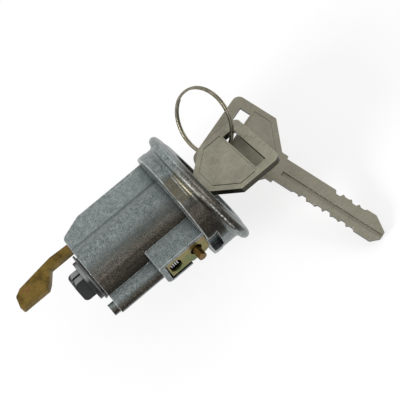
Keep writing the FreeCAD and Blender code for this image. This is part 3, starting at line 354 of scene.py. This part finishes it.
def bump(tree, shader, height, depth_mm, strength, under=None):
    """Raises the surface by a height from 0 to 1 times depth_mm."""
    node = tree.nodes.new("ShaderNodeBump")
    node.inputs["Strength"].default_value = strength
    node.inputs["Distance"].default_value = depth_mm * MM
    tree.links.new(height, node.inputs["Height"])
    if under is not None:
        tree.links.new(under, node.inputs["Normal"])
    tree.links.new(node.outputs[0], shader.inputs["Normal"])
    return node.outputs[0]


def worn_edges(tree, reach_mm):
    """1 on edges that hands and tools have rubbed, 0 on flat ground."""
    rounded = tree.nodes.new("ShaderNodeBevel")
    rounded.samples = SHORT_RAYS
    rounded.inputs["Radius"].default_value = reach_mm * MM
    true = tree.nodes.new("ShaderNodeNewGeometry")
    dot = tree.nodes.new("ShaderNodeVectorMath")
    dot.operation = "DOT_PRODUCT"
    tree.links.new(rounded.outputs[0], dot.inputs[0])
    tree.links.new(true.outputs["Normal"], dot.inputs[1])
    return level(tree, dot.outputs["Value"], *EDGE_TURN)


def hollow_shade_and_dirt(tree, reach_mm, clear=0.75, deep=0.25):
    """1 deep in corners and pockets, where dirt gathers and shade is painted for the little light that
    reaches.
    """
    hollow = tree.nodes.new("ShaderNodeAmbientOcclusion")
    hollow.samples = SHORT_RAYS
    hollow.inputs["Distance"].default_value = reach_mm * MM
    return level(tree, hollow.outputs["AO"], clear, deep)


print("wear, dirt and painted shade ready")

# %% [markdown]
# ### Where a mark lies
# Marks on a casting follow its form. The painted shade, reflection and sheen lie on the faces that look
# one way, and the golden film, the darker sector and the painted highlight lines lie on one sector round
# the axis.
# So a mask reads the surface's own direction, or the point's place in the piece.
# Neither asks where the camera stands, so a mark stays put in every view.

# %% Direction and place
def part_of(tree, vector, axis):
    """One coordinate of a vector, in metres where the vector is a place."""
    split = tree.nodes.new("ShaderNodeSeparateXYZ")
    tree.links.new(vector, split.inputs[0])
    return split.outputs[axis]


def own_direction(tree):
    """The direction that the surface looks, turning with its piece."""
    return tree.nodes.new("ShaderNodeTexCoord").outputs["Normal"]


def facing(tree, axis):
    """How far a face looks along one of the piece's own axes, from -1 to 1."""
    return part_of(tree, own_direction(tree), axis)


def round_the_axis(tree, where):
    """The angle up from the latch box's side, and the distance from the lock's axis."""
    x = part_of(tree, where, "X")
    z = part_of(tree, where, "Z")
    angle = reckon(tree, "ARCTAN2", z, reckon(tree, "MULTIPLY", x, -1.0))
    radius = reckon(tree, "SQRT", reckon(tree, "ADD", product(tree, x, x), product(tree, z, z)))
    return angle, radius


print("direction and place ready")

# %% [markdown]
# ## The zinc casting
# Die-cast zinc comes out of its mould grey and slightly blue-green, granular where the metal
# chilled. The side towards the latch box is painted with a brown reflection and almost black shade, the
# collar's land keeps a golden film, tumbling leaves the outer edges bright, and two highlight lines are
# painted on the collar and bezel.
# First come the masks that say where each mark lies, and then the tones that fill them. Three
# noises of different size break every mask up, because no real stain has an even edge.

# %% The side with painted reflection and shade
TOWARDS_LATCH = (0.22, 0.72)
LOOKS_UP = (0.0, 0.15)


def side_reflection_and_shade(tree):
    """1 where the round forms look sideways to the latch box and a little up, where the brown reflection
    and black shade are painted.
    """
    sideways = reckon(tree, "MULTIPLY", facing(tree, "X"), -1.0)
    return product(tree, level(tree, sideways, *TOWARDS_LATCH),
                   level(tree, facing(tree, "Z"), *LOOKS_UP))


print("painted side whole within", round(math.degrees(math.acos(TOWARDS_LATCH[1]))), "degrees of the box's side")

# %% The collar's land
LAND_FROM = math.radians(58)
LAND_TO = math.radians(84)
LAND_BLUR = math.radians(1)
COLLAR_INSIDE = 17.5 * MM
COLLAR_LENGTH = 4.6 * MM
FADE = 1.0 * MM


def on_the_outside(tree, radius):
    """1 on the collar and bezel, 0 on the body inside their radius."""
    return level(tree, radius, COLLAR_INSIDE, COLLAR_INSIDE + FADE)


def collar_land(tree, where):
    """1 on the collar's land, between the two lines along the axis."""
    angle, radius = round_the_axis(tree, where)
    sector = band(tree, angle, LAND_FROM, LAND_TO, LAND_BLUR)
    along = level(tree, part_of(tree, where, "Y"), -COLLAR_LENGTH - FADE, -COLLAR_LENGTH)
    return product(tree, sector, along, on_the_outside(tree, radius))


print("land from", round(math.degrees(LAND_FROM)), "to", round(math.degrees(LAND_TO)), "degrees")

# %% The darker sector beside it
SECTOR_FROM = math.radians(30)
SECTOR_TO = math.radians(57)
SECTOR_BLUR = math.radians(7)
WIDE_BLUR = math.radians(9)
REAR_FADE = 0.4 * MM
BEZEL_FADE = 1.5 * MM
BEZEL_SECTOR_SHARE = 0.9


def collar_dark_sector(tree, where):
    """1 on the darker sector of the collar and bezel, beside the land, which takes the same brown and
    black.
    """
    angle, radius = round_the_axis(tree, where)
    y = part_of(tree, where, "Y")
    ahead_of_edge = level(tree, y, 0.0, -REAR_FADE)
    collar = product(tree, band(tree, angle, SECTOR_FROM, SECTOR_TO, SECTOR_BLUR), ahead_of_edge)
    on_bezel = level(tree, y, -COLLAR_LENGTH, -COLLAR_LENGTH - BEZEL_FADE)
    bezel = product(tree, band(tree, angle, SECTOR_FROM, LAND_TO, WIDE_BLUR), on_bezel, BEZEL_SECTOR_SHARE)
    return product(tree, reckon(tree, "MAXIMUM", collar, bezel), on_the_outside(tree, radius))


print("darker sector from", round(math.degrees(SECTOR_FROM)), "to", round(math.degrees(SECTOR_TO)), "degrees")

# %% [markdown]
# ### Two painted highlight lines
# The collar's rear edge and the widest line of the bezel are painted with bright highlight lines.
# The bezel's line is too blunt for the Bevel node to find, so both masks come from the radius and
# from the plane that each line lies in. The bezel's plane is slanted.

# %% Painted highlight lines
COLLAR_RADIUS = 19.85 * MM
COLLAR_SKIN = (0.45 * MM, 0.20 * MM)
REAR_EDGE = (-0.30 * MM, 0.05 * MM)
REAR_BLUR = 0.08 * MM
REST_OF_EDGE = 0.3

RIM_RADIUS = 22.30 * MM
RIM_SKIN = (0.40 * MM, 0.10 * MM)
RIM_TILT = 0.155
RIM_MIDDLE = 9.6 * MM
CREST_LINE = (-RIM_MIDDLE + 0.1 * MM, -RIM_MIDDLE + 0.5 * MM)
CREST_LINE_BLUR = 0.2 * MM
CREST_FROM = math.radians(12)
CREST_TO = math.radians(54)
CREST_BLUR = math.radians(6)
REST_OF_CREST = 0.2


def skin(tree, radius, full, depths):
    """0 below the first depth under the full radius, 1 above the second."""
    return level(tree, radius, full - depths[0], full - depths[1])


def collar_edge_highlight(tree, where):
    """1 on the collar's rear edge, where a highlight line is painted."""
    angle, radius = round_the_axis(tree, where)
    along = band(tree, part_of(tree, where, "Y"), *REAR_EDGE, REAR_BLUR)
    above = reckon(tree, "MAXIMUM", band(tree, angle, SECTOR_TO, LAND_TO, WIDE_BLUR), REST_OF_EDGE)
    return product(tree, along, above, skin(tree, radius, COLLAR_RADIUS, COLLAR_SKIN))


def rim_crest_highlight(tree, where):
    """1 along the widest line of the slanted bezel, where a highlight line is painted."""
    angle, radius = round_the_axis(tree, where)
    slant = reckon(tree, "MULTIPLY", part_of(tree, where, "Z"), RIM_TILT)
    along = reckon(tree, "SUBTRACT", part_of(tree, where, "Y"), slant)
    sector = band(tree, angle, CREST_FROM, CREST_TO, CREST_BLUR)
    return product(tree, reckon(tree, "MAXIMUM", sector, REST_OF_CREST),
                   skin(tree, radius, RIM_RADIUS, RIM_SKIN),
                   band(tree, along, *CREST_LINE, CREST_LINE_BLUR))


print("highlight lines at radius", round(COLLAR_RADIUS / MM, 2), "and", round(RIM_RADIUS / MM, 2), "mm")

# %% [markdown]
# ### The casting's tones
# The clean metal is a ramp from dark to light zinc over a granular noise. The faces that look
# towards the latch box get painted shade, and the slab's upward faces a painted sheen that makes them a
# shade lighter.

# %% Clean zinc with painted shade and sheen
ZINC_DARK = (0.070, 0.083, 0.082)
ZINC = (0.165, 0.190, 0.187)
ZINC_LIGHT = (0.300, 0.332, 0.328)
CLEAN_ZINC = [(0.38, ZINC_DARK), (0.50, ZINC), (0.62, ZINC_LIGHT)]
SIDE_SHADE_ZINC = (0.088, 0.098, 0.091)
SIDE_SHADE_TURN = (0.02, 0.40)
SIDE_SHADE_SHARE = 0.8
SLAB_PAINTED_SHEEN = (0.028, 0.033, 0.031)
SLAB_FROM = (5.0 * MM, 9.0 * MM)
LEVEL_TOP = (0.60, 0.85)


def zinc_with_painted_light(tree, where, granular):
    """The bare metal's colour with its painted side shade and sheen, before the other layers."""
    colour = tones(tree, granular, CLEAN_ZINC)
    # Painted shade: the faces that turn towards the latch box and a little up are darkened.
    turned = reckon(tree, "MULTIPLY", facing(tree, "X"), -1.0)
    painted_side_shade = product(tree, level(tree, turned, *SIDE_SHADE_TURN),
                   level(tree, facing(tree, "Z"), *LOOKS_UP), SIDE_SHADE_SHARE)
    colour = mix(tree, painted_side_shade, colour, SIDE_SHADE_ZINC, "DARKEN")
    # Painted sheen: the slab's upward faces are lightened, as if lit from above.
    slab = level(tree, part_of(tree, where, "X"), *SLAB_FROM)
    painted_top_sheen = product(tree, slab, level(tree, facing(tree, "Z"), *LEVEL_TOP))
    return mix(tree, painted_top_sheen, colour, SLAB_PAINTED_SHEEN, "ADD")


print("clean zinc:", len(CLEAN_ZINC), "tones")

# %% [markdown]
# ### Painted reflection, shade and the golden film
# The painted reflection is brown on top and the painted shade nearly black below, with worn specks of
# metal in them. Each layer is a ramp over a streaked noise, laid on by its mask, so the specks match from
# layer to layer.
# In each of the breaks, the first two numbers are the noise's low and high, and the last two are
# how much of the layer is left there.

# %% Painted reflection, shade and film
BROWN_REFLECTION_AND_STAIN = (0.080, 0.062, 0.046)
PAINTED_SHADE_DEEP = (0.045, 0.036, 0.027)
PAINTED_SHADE_BLACK = (0.010, 0.010, 0.007)
LAND_GOLD = (0.125, 0.104, 0.058)
SPECK = (0.190, 0.178, 0.150)
# Bright zinc for worn edges and specks, and for the painted glints and highlight lines.
BARE_ZINC_AND_HIGHLIGHT = (0.80, 0.83, 0.81)
BROWN_REFLECTION_TONES = [(0.42, PAINTED_SHADE_BLACK), (0.53, BROWN_REFLECTION_AND_STAIN), (0.66, SPECK), (0.74, BARE_ZINC_AND_HIGHLIGHT)]
BLACK_SHADE_TONES = [(0.46, PAINTED_SHADE_BLACK), (0.62, PAINTED_SHADE_DEEP), (0.74, SPECK)]
GOLDEN_FILM = [(0.40, BROWN_REFLECTION_AND_STAIN), (0.52, LAND_GOLD), (0.66, SPECK)]
BROWN_BREAKS = (0.70, 1.00, 0.65, 1.0)
BLACK_BREAKS = (0.80, 1.10, 1.0, 0.75)
GOLD_BREAKS = (0.70, 1.05, 0.45, 0.9)
LOOKS_LOW = (0.70, 0.46)
COLLAR_SHARE = 0.85
STREAK_MM = 2.4
STREAK_ALONG = (1, 0.12, 1)
STREAK_SHARE = 0.35
GRAIN_SHARE = 0.65


def reflection_shade_and_film(tree, where, colour, ragged, grain):
    """Lays a painted brown reflection, painted near-black shade below it, and the land's golden film over
    the bare metal.
    """
    collar_part = product(tree, collar_dark_sector(tree, where), COLLAR_SHARE)
    side = reckon(tree, "MAXIMUM", side_reflection_and_shade(tree), collar_part)
    streaks = noise(tree, where, STREAK_MM, detail=3, stretch=STREAK_ALONG)
    speckled = weighted(tree, streaks, STREAK_SHARE, grain, GRAIN_SHARE)

    # Painted reflection: a brown band where the faces look towards the latch box, and on the collar's
    # darker sector.
    brown = product(tree, side, level(tree, ragged, *BROWN_BREAKS))
    colour = mix(tree, brown, colour, tones(tree, speckled, BROWN_REFLECTION_TONES))
    # Painted shade: near black where those faces turn down.
    low = level(tree, facing(tree, "Z"), *LOOKS_LOW)
    black = product(tree, side, low, level(tree, ragged, *BLACK_BREAKS))
    colour = mix(tree, black, colour, tones(tree, speckled, BLACK_SHADE_TONES))
    gold = product(tree, collar_land(tree, where), level(tree, ragged, *GOLD_BREAKS))
    return mix(tree, gold, colour, tones(tree, speckled, GOLDEN_FILM))


print("reflection, shade and film:", len(BROWN_REFLECTION_TONES), len(BLACK_SHADE_TONES), len(GOLDEN_FILM), "tones")

# %% [markdown]
# ### Painted shade, dirt, glints and bare metal
# Last come the marks that lie over everything: painted shade and dirt in the hollows, painted glints
# in sparks, bare bright metal along the edges, and painted highlights on the two lines.

# %% Painted shade, dirt, glints and bare metal
SHADED_ZINC = (0.050, 0.062, 0.066)
SHADE_MM = 6.0
SHADE_DEPTH = (0.86, 0.48)
SHADE_SHARE = 0.75
HOLLOW_SHADE_AND_DIRT = (0.020, 0.021, 0.018)
HOLLOW_SHADE_MM = 2.0
GLINT_GRAIN = (0.68, 0.74)
GLINT_MOTTLE = (0.45, 0.60)
GLINT_SHARE = 0.45
EDGE_WEAR_MM = 0.32
EDGE_BREAKS = (0.36, 0.54, 0.35, 1.0)
CREST_HIGHLIGHT_BREAKS = (0.42, 0.60, 0.0, 0.8)
EDGE_HIGHLIGHT_BREAKS = (0.34, 0.50, 0.4, 1.0)


def shade_dirt_glints_and_wear(tree, where, colour, mottle, grain):
    """Paints shade and dirt into the hollows, glints on the grain and highlights on two lines, and bares
    the metal on the edges.
    """
    # Painted shade: a broad darkening near the collar and in other wide hollows.
    shaded = product(tree, hollow_shade_and_dirt(tree, SHADE_MM, *SHADE_DEPTH), SHADE_SHARE)
    colour = mix(tree, shaded, colour, SHADED_ZINC, "DARKEN")
    # Painted shade and dirt in the small corners.
    colour = mix(tree, hollow_shade_and_dirt(tree, HOLLOW_SHADE_MM), colour, HOLLOW_SHADE_AND_DIRT)
    # Painted glints: bright specks on the grain.
    painted_glints = product(tree, level(tree, grain, *GLINT_GRAIN), level(tree, mottle, *GLINT_MOTTLE),
                     GLINT_SHARE)
    colour = mix(tree, painted_glints, colour, BARE_ZINC_AND_HIGHLIGHT)
    edges = product(tree, worn_edges(tree, EDGE_WEAR_MM), level(tree, mottle, *EDGE_BREAKS))
    # Painted highlights: bright lines on the bezel's crest and the collar's rear edge, added to the worn
    # edges.
    crest_highlight = product(tree, rim_crest_highlight(tree, where), level(tree, mottle, *CREST_HIGHLIGHT_BREAKS))
    edge_highlight = product(tree, collar_edge_highlight(tree, where), level(tree, mottle, *EDGE_HIGHLIGHT_BREAKS))
    wear_and_highlights = reckon(tree, "MAXIMUM", edges, reckon(tree, "MAXIMUM", crest_highlight, edge_highlight))
    return mix(tree, wear_and_highlights, colour, BARE_ZINC_AND_HIGHLIGHT)


print("edges wear within", EDGE_WEAR_MM, "mm")

# %% [markdown]
# ### The casting's finish put together
# The three noises are made once and shared, so colour, roughness and relief agree: the same grain
# that looks light is also a little raised.

# %% Zinc casting
PATCH_MM = 7.0
MOTTLE_MM = 1.3
GRAIN_MM = 0.36
MOTTLE_SHARE = 0.35
PATCH_SHARE = 0.7
GRANULAR_SHARE = 1.1
ZINC_ROUGHNESS = (0.35, 0.65, 0.26, 0.50)
MOTTLE_RELIEF_MM = 0.05
MOTTLE_STRENGTH = 0.6
GRAIN_RELIEF_MM = 0.035
GRAIN_STRENGTH = 0.9


def make_casting_finish():
    """Granular zinc with its stains, dirt and rubbed edges, and painted shade, reflection, sheen, glints
    and highlights.
    """
    material, tree, shader, where = start_finish("cast_zinc", metallic=0.85, roughness=0.4)
    patches = noise(tree, where, PATCH_MM)
    mottle = noise(tree, where, MOTTLE_MM, detail=5, roughness=0.65)
    grain = noise(tree, where, GRAIN_MM, detail=3, roughness=0.65)
    granular = weighted(tree, mottle, MOTTLE_SHARE, grain, GRAIN_SHARE)
    ragged = weighted(tree, patches, PATCH_SHARE, granular, GRANULAR_SHARE)

    colour = zinc_with_painted_light(tree, where, granular)
    colour = reflection_shade_and_film(tree, where, colour, ragged, grain)
    colour = shade_dirt_glints_and_wear(tree, where, colour, mottle, grain)
    tree.links.new(colour, shader.inputs["Base Color"])
    tree.links.new(level(tree, granular, *ZINC_ROUGHNESS), shader.inputs["Roughness"])
    coarse = bump(tree, shader, mottle, MOTTLE_RELIEF_MM, MOTTLE_STRENGTH)
    bump(tree, shader, grain, GRAIN_RELIEF_MM, GRAIN_STRENGTH, coarse)
    return material


finishes = {"casting": make_casting_finish()}
print("casting finish:", len(finishes["casting"].node_tree.nodes), "nodes")

# %% [markdown]
# ## Chromate plating
# The lever and the latch plate are stamped steel, zinc plated and dipped in yellow chromate.
# The film is thinner than a wavelength in places, so gold drifts into olive, rose and green.
# A soft wide noise through a ramp of those tones gives the drift. The sheared edges have a tone of
# their own: dark brown on the lever, and rubbed pale on the plate.

# %% Chromated steel
NOISE_SPAN = (0.3, 0.7)
CHROMATE_SMOOTHER = 0.08
CHROMATE_ROUGHER = 0.12
DRIFT_MM = 4.5
SCUFF_MM = 0.45
SCUFF_BREAKS = (0.50, 0.72, 0.0, 0.6)
SCUFF_RELIEF_MM = 0.012
SCUFF_STRENGTH = 0.5
SHEARED_MM = 0.22
SHEARED_SHARE = 0.8
PLATING_SHADE_AND_DIRT = (0.022, 0.016, 0.010)
PLATING_SHADE_MM = 1.5


def make_chromate_finish(name, stops, dull, edge, roughness):
    """Drifting plating tones, dulled where scuffed, with sheared edges of another tone and painted shade
    and dirt in the hollows.
    """
    material, tree, shader, where = start_finish(name, metallic=0.85, roughness=roughness)
    drift = noise(tree, where, DRIFT_MM, roughness=0.6)
    scuff = noise(tree, where, SCUFF_MM)
    colour = tones(tree, drift, stops)
    colour = mix(tree, level(tree, scuff, *SCUFF_BREAKS), colour, dull)
    colour = mix(tree, product(tree, worn_edges(tree, SHEARED_MM), SHEARED_SHARE), colour, edge)
    # Painted shade and dirt in the hollows.
    colour = mix(tree, hollow_shade_and_dirt(tree, PLATING_SHADE_MM), colour, PLATING_SHADE_AND_DIRT)
    tree.links.new(colour, shader.inputs["Base Color"])
    rough = level(tree, scuff, *NOISE_SPAN, roughness - CHROMATE_SMOOTHER, roughness + CHROMATE_ROUGHER)
    tree.links.new(rough, shader.inputs["Roughness"])
    bump(tree, shader, scuff, SCUFF_RELIEF_MM, SCUFF_STRENGTH)
    return material


finishes["gold_plated_steel"] = make_chromate_finish(
    "gold_chromate",
    stops=[(0.34, (0.064, 0.038, 0.011)), (0.46, (0.128, 0.084, 0.016)),
           (0.58, (0.180, 0.119, 0.027)), (0.67, (0.172, 0.060, 0.029))],
    dull=(0.090, 0.058, 0.016), edge=(0.030, 0.013, 0.004), roughness=0.36)
finishes["plated_steel"] = make_chromate_finish(
    "plate_chromate",
    stops=[(0.34, (0.104, 0.146, 0.053)), (0.46, (0.180, 0.160, 0.050)),
           (0.56, (0.232, 0.200, 0.075)), (0.68, (0.216, 0.142, 0.078))],
    dull=(0.160, 0.120, 0.060), edge=(0.330, 0.290, 0.190), roughness=0.32)
print("chromate finishes:", [name for name in finishes if "plated" in name])

# %% [markdown]
# ## Nickel keys, bright wire and the dark core
# Cut keys are brass under satin nickel, rubbed in a pocket until fine scratches cross them and
# grease turns brown in their grooves, where shade is painted too. The split ring is hard drawn wire and
# shines more.
# The core is a dark dull metal, painted lighter on its upward faces as if lit from above. One function
# serves all of them, with its own tones for each.

# %% A rubbed metal
RUBBED_SMOOTHER = 0.07
RUBBED_ROUGHER = 0.1
CUT_TURN = (0.80, 0.35)
CUT_TONE = 0.3
LEVEL_FACE = (0.80, 0.94)
CLOUD_MM = 6.0
SCRATCH_SHARE = 0.6
CLOUD_SHARE = 0.4
DARK_AT = 0.30
LIGHT_AT = 0.68
HOLLOW_MM = 1.2
RUB_MM = 0.2
RUB_TONE = 1.6
SCRATCH_RELIEF_MM = 0.01
SCRATCH_STRENGTH = 0.4
HOLLOW_SHADE_AND_GREASE = (0.045, 0.035, 0.024)


def cut_side(tree, flat):
    """1 on the rough cut sides of a flat piece, whose broad faces look along one direction."""
    dot = tree.nodes.new("ShaderNodeVectorMath")
    dot.operation = "DOT_PRODUCT"
    dot.inputs[1].default_value = flat
    tree.links.new(own_direction(tree), dot.inputs[0])
    return level(tree, reckon(tree, "ABSOLUTE", dot.outputs["Value"]), *CUT_TURN)


def make_rubbed_finish(name, dark, light, metallic, roughness, scratch_mm, along,
                       hollow_share=0.6, edge=0.5, hollow_tone=HOLLOW_SHADE_AND_GREASE, flat=None, lit_top=None):
    """Scratched metal; flat is the way that a flat piece's broad faces look, and the last argument, if
    given, is a colour painted on the upper faces as light from above.
    """
    material, tree, shader, where = start_finish(name, metallic, roughness)
    scratches = noise(tree, where, scratch_mm, detail=5, roughness=0.65, stretch=along)
    cloud = noise(tree, where, CLOUD_MM, detail=3)
    worn = weighted(tree, scratches, SCRATCH_SHARE, cloud, CLOUD_SHARE)
    colour = tones(tree, worn, [(DARK_AT, dark), (LIGHT_AT, light)])
    if flat:
        colour = mix(tree, cut_side(tree, flat), colour, tuple(CUT_TONE * channel for channel in dark))
    # Painted light: upward faces take a lighter colour, as if lit from above.
    if lit_top:
        colour = mix(tree, level(tree, facing(tree, "Z"), *LEVEL_FACE), colour, lit_top)
    # Painted shade with grease in the hollows.
    hollows = reckon(tree, "MULTIPLY", hollow_shade_and_dirt(tree, HOLLOW_MM), hollow_share)
    colour = mix(tree, hollows, colour, hollow_tone)
    bright = tuple(min(1.0, RUB_TONE * channel) for channel in light)
    colour = mix(tree, reckon(tree, "MULTIPLY", worn_edges(tree, RUB_MM), edge), colour, bright)
    tree.links.new(colour, shader.inputs["Base Color"])
    rough = level(tree, scratches, *NOISE_SPAN, roughness - RUBBED_SMOOTHER, roughness + RUBBED_ROUGHER)
    tree.links.new(rough, shader.inputs["Roughness"])
    bump(tree, shader, scratches, SCRATCH_RELIEF_MM, SCRATCH_STRENGTH)
    return material


print("rubbed metals ready")

# %% Keys and ring
LONG_SCRATCHES = (1.0, 0.25, 1.0)
EVEN = (1.0, 1.0, 1.0)
KEY_FACE = (0.276, 0.0, 0.961)  # the direction that the turned key's broad face looks
SPARE_FACE = (-0.306, -0.026, 0.952)  # the same for the hanging key

finishes["key_metal"] = make_rubbed_finish(
    "satin_nickel", dark=(0.170, 0.160, 0.120), light=(0.350, 0.336, 0.258), metallic=0.85,
    roughness=0.36, scratch_mm=0.35, along=LONG_SCRATCHES, hollow_share=0.30, edge=0.7, flat=KEY_FACE)
finishes["spare_metal"] = make_rubbed_finish(
    "dull_nickel", dark=(0.175, 0.163, 0.126), light=(0.266, 0.249, 0.195), metallic=0.85,
    roughness=0.36, scratch_mm=0.35, along=LONG_SCRATCHES, hollow_share=0.9, edge=0.6,
    hollow_tone=(0.050, 0.030, 0.012), flat=SPARE_FACE)
finishes["ring_steel"] = make_rubbed_finish(
    "bright_wire", dark=(0.110, 0.098, 0.066), light=(0.250, 0.232, 0.175), metallic=1.0,
    roughness=0.24, scratch_mm=2.5, along=EVEN, hollow_share=1.0, edge=0.1)
print("finishes so far:", sorted(finishes))

# %% The lock's own metals
finishes["spring_steel"] = make_rubbed_finish(
    "spring_wire", dark=(0.30, 0.30, 0.29), light=(0.55, 0.55, 0.53), metallic=1.0,
    roughness=0.22, scratch_mm=0.4, along=EVEN)
finishes["steel"] = make_rubbed_finish(
    "plain_steel", dark=(0.075, 0.078, 0.078), light=(0.150, 0.152, 0.150), metallic=0.9,
    roughness=0.36, scratch_mm=0.8, along=EVEN)
# Painted light: the dark core's upward faces are given a much lighter grey.
finishes["rotor_metal"] = make_rubbed_finish(
    "dark_core", dark=(0.011, 0.012, 0.012), light=(0.034, 0.036, 0.036), metallic=0.7,
    roughness=0.42, scratch_mm=1.0, along=EVEN, edge=0.9, lit_top=(0.230, 0.240, 0.240))
finishes["cap_steel"] = make_rubbed_finish(
    "cap_steel", dark=(0.20, 0.19, 0.165), light=(0.33, 0.32, 0.285), metallic=0.9,
    roughness=0.32, scratch_mm=0.8, along=EVEN)
finishes["wafer_brass"] = make_rubbed_finish(
    "wafer_brass", dark=(0.34, 0.24, 0.09), light=(0.50, 0.37, 0.15), metallic=0.9,
    roughness=0.34, scratch_mm=0.6, along=EVEN)
finishes["pin_brass"] = make_rubbed_finish(
    "pin_brass", dark=(0.075, 0.036, 0.010), light=(0.190, 0.120, 0.032), metallic=0.85,
    roughness=0.34, scratch_mm=0.9, along=EVEN, hollow_share=0.8)
print("finishes:", sorted(finishes))

# %% [markdown]
# ## Rounded edges
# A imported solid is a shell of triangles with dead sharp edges. Each visible piece is copied, the
# copy's triangles are welded and its flat ones dissolved into whole faces, and then the sharp
# edges get a small bevel. Stamped pieces keep a tight edge, and the casting a softer one.
# A Bevel modifier could round the edges too, but it would leave the flat faces' thin triangles.

# %% Which edges are rounded
SHARP = math.radians(28)
THICKNESS_AXIS = Vector((0, 0, 1))
PARALLEL = 0.999


def is_corner(edge):
    """A sharp outer edge that runs across a flat piece's thickness."""
    run = (edge.verts[1].co - edge.verts[0].co).normalized()
    across = abs(run.dot(THICKNESS_AXIS)) > PARALLEL
    return edge.is_manifold and across and edge.calc_face_angle_signed(0) > SHARP


def is_sharp(edge, angle):
    """True where two faces meet at more than the angle."""
    return edge.is_manifold and edge.calc_face_angle(0) > angle


print("edges over", round(math.degrees(SHARP)), "degrees get rounded")

# %% Round a piece's edges
WELD = 0.0005 * MM
FLAT = math.radians(0.3)
CREASE = math.radians(48)
EDGE_STEPS = 2
CORNER_MM = {"lever": 1.1}
CORNER_STEPS = 6


def round_off(work, edges, radius_mm, steps):
    """Bevels the edges of a mesh that is being worked on."""
    bmesh.ops.bevel(work, geom=edges, offset=radius_mm * MM, segments=steps, profile=0.5,
                    affect="EDGES", material=-1, clamp_overlap=True)


def finished_copy(node, edge_mm):
    """A welded copy of a node's mesh with its sharp edges bevelled, as a new object."""
    work = bmesh.new()
    work.from_mesh(frame["nodes"][node].data)
    bmesh.ops.remove_doubles(work, verts=work.verts, dist=WELD)
    bmesh.ops.dissolve_limit(work, angle_limit=FLAT, verts=work.verts, edges=work.edges)
    if node in CORNER_MM:
        round_off(work, [edge for edge in work.edges if is_corner(edge)], CORNER_MM[node], CORNER_STEPS)
    if edge_mm > 0:
        sharp = [edge for edge in work.edges
                 if is_sharp(edge, SHARP) and edge.calc_length() > edge_mm * MM]
        round_off(work, sharp, edge_mm, EDGE_STEPS)
    bmesh.ops.recalc_face_normals(work, faces=work.faces)
    for face in work.faces:
        face.smooth = True
    for edge in work.edges:
        edge.smooth = not is_sharp(edge, CREASE)
    mesh = bpy.data.meshes.new(node + "_dressed")
    work.to_mesh(mesh)
    work.free()
    piece = bpy.data.objects.new(node + "_dressed", mesh)
    bpy.context.scene.collection.objects.link(piece)
    return piece


def even_normals(piece):
    """Lets big faces rule the shading, so bevels blend into flat ground."""
    modifier = piece.modifiers.new("even_normals", "WEIGHTED_NORMAL")
    modifier.keep_sharp = True
    return piece


print("own corner radius, mm:", CORNER_MM)

# %% [markdown]
# ## Dress every node
# The visible pieces get rounded copies. The hidden ones inside the lock keep their own mesh and
# only take their finish, since no light reaches them. The latch spring reaches over two bodies, so
# it isn't fixed to either here.

# %% Dress the pieces
EDGE_MM = {
    "housing": 0.2, "lever_cover": 0.1, "latch_plate": 0.12, "lever": 0.15, "retaining_pin": 0.15,
    "rotor": 0.12, "rotor_cap": 0.15, "retaining_clip": 0.08, "thrust_washer": 0.05,
    "ignition_key": 0.12, "spare_key": 0.12, "split_ring": 0.0, "latch_spring": 0.0, "lever_pin": 0.1,
    "lever_spring": 0.0,
}
ON_TWO_BODIES = "latch_spring"
slots = {row["node"]: row["material_slot"] for row in frame["record"]["subparts"]}
body_of = {}
for body, members in frame["record"]["behaviour"]["bodies"].items():
    for node in members:
        body_of[node] = body

dressed = {}
for node, cad in sorted(frame["nodes"].items()):
    finish = finishes["spare_metal" if node == "spare_key" else slots[node]]
    if node in EDGE_MM:
        piece = even_normals(finished_copy(node, EDGE_MM[node]))
        piece.data.materials.append(finish)
        if node != ON_TWO_BODIES:
            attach(piece, body_of[node])
        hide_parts(node)
        dressed[node] = piece
        print(node, "dressed:", len(piece.data.polygons), "faces from", len(cad.data.polygons))
    else:
        cad.data.materials.clear()
        cad.data.materials.append(finish)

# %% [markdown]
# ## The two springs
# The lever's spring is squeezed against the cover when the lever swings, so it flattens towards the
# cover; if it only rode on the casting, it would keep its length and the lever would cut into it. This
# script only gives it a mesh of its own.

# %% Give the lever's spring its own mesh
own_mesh(dressed["lever_spring"])

# %% [markdown]
# ### The latch spring's leg
# The leg rests under the pin's foot and is pushed in with it, while the coil stays. The leg is cut
# across in a few places first, because a bar with no rings of points along it can't bend.

# %% Cut the latch spring's leg across
LEG_CUTS = 8
COIL_START = 11.0 * MM

foot_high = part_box("retaining_pin")[1]
leg_foot = foot_high[1]
work = bmesh.new()
work.from_mesh(dressed["latch_spring"].data)
for step in range(LEG_CUTS + 1):
    along = leg_foot + (COIL_START - leg_foot) * step / LEG_CUTS
    bmesh.ops.bisect_plane(work, geom=work.verts[:] + work.edges[:] + work.faces[:],
                           plane_co=(0, along, 0), plane_no=(0, 1, 0))
work.to_mesh(dressed["latch_spring"].data)
work.free()
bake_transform(dressed["latch_spring"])
print("latch spring's leg bends between", round(leg_foot / MM, 1), "and", round(COIL_START / MM, 1), "mm")
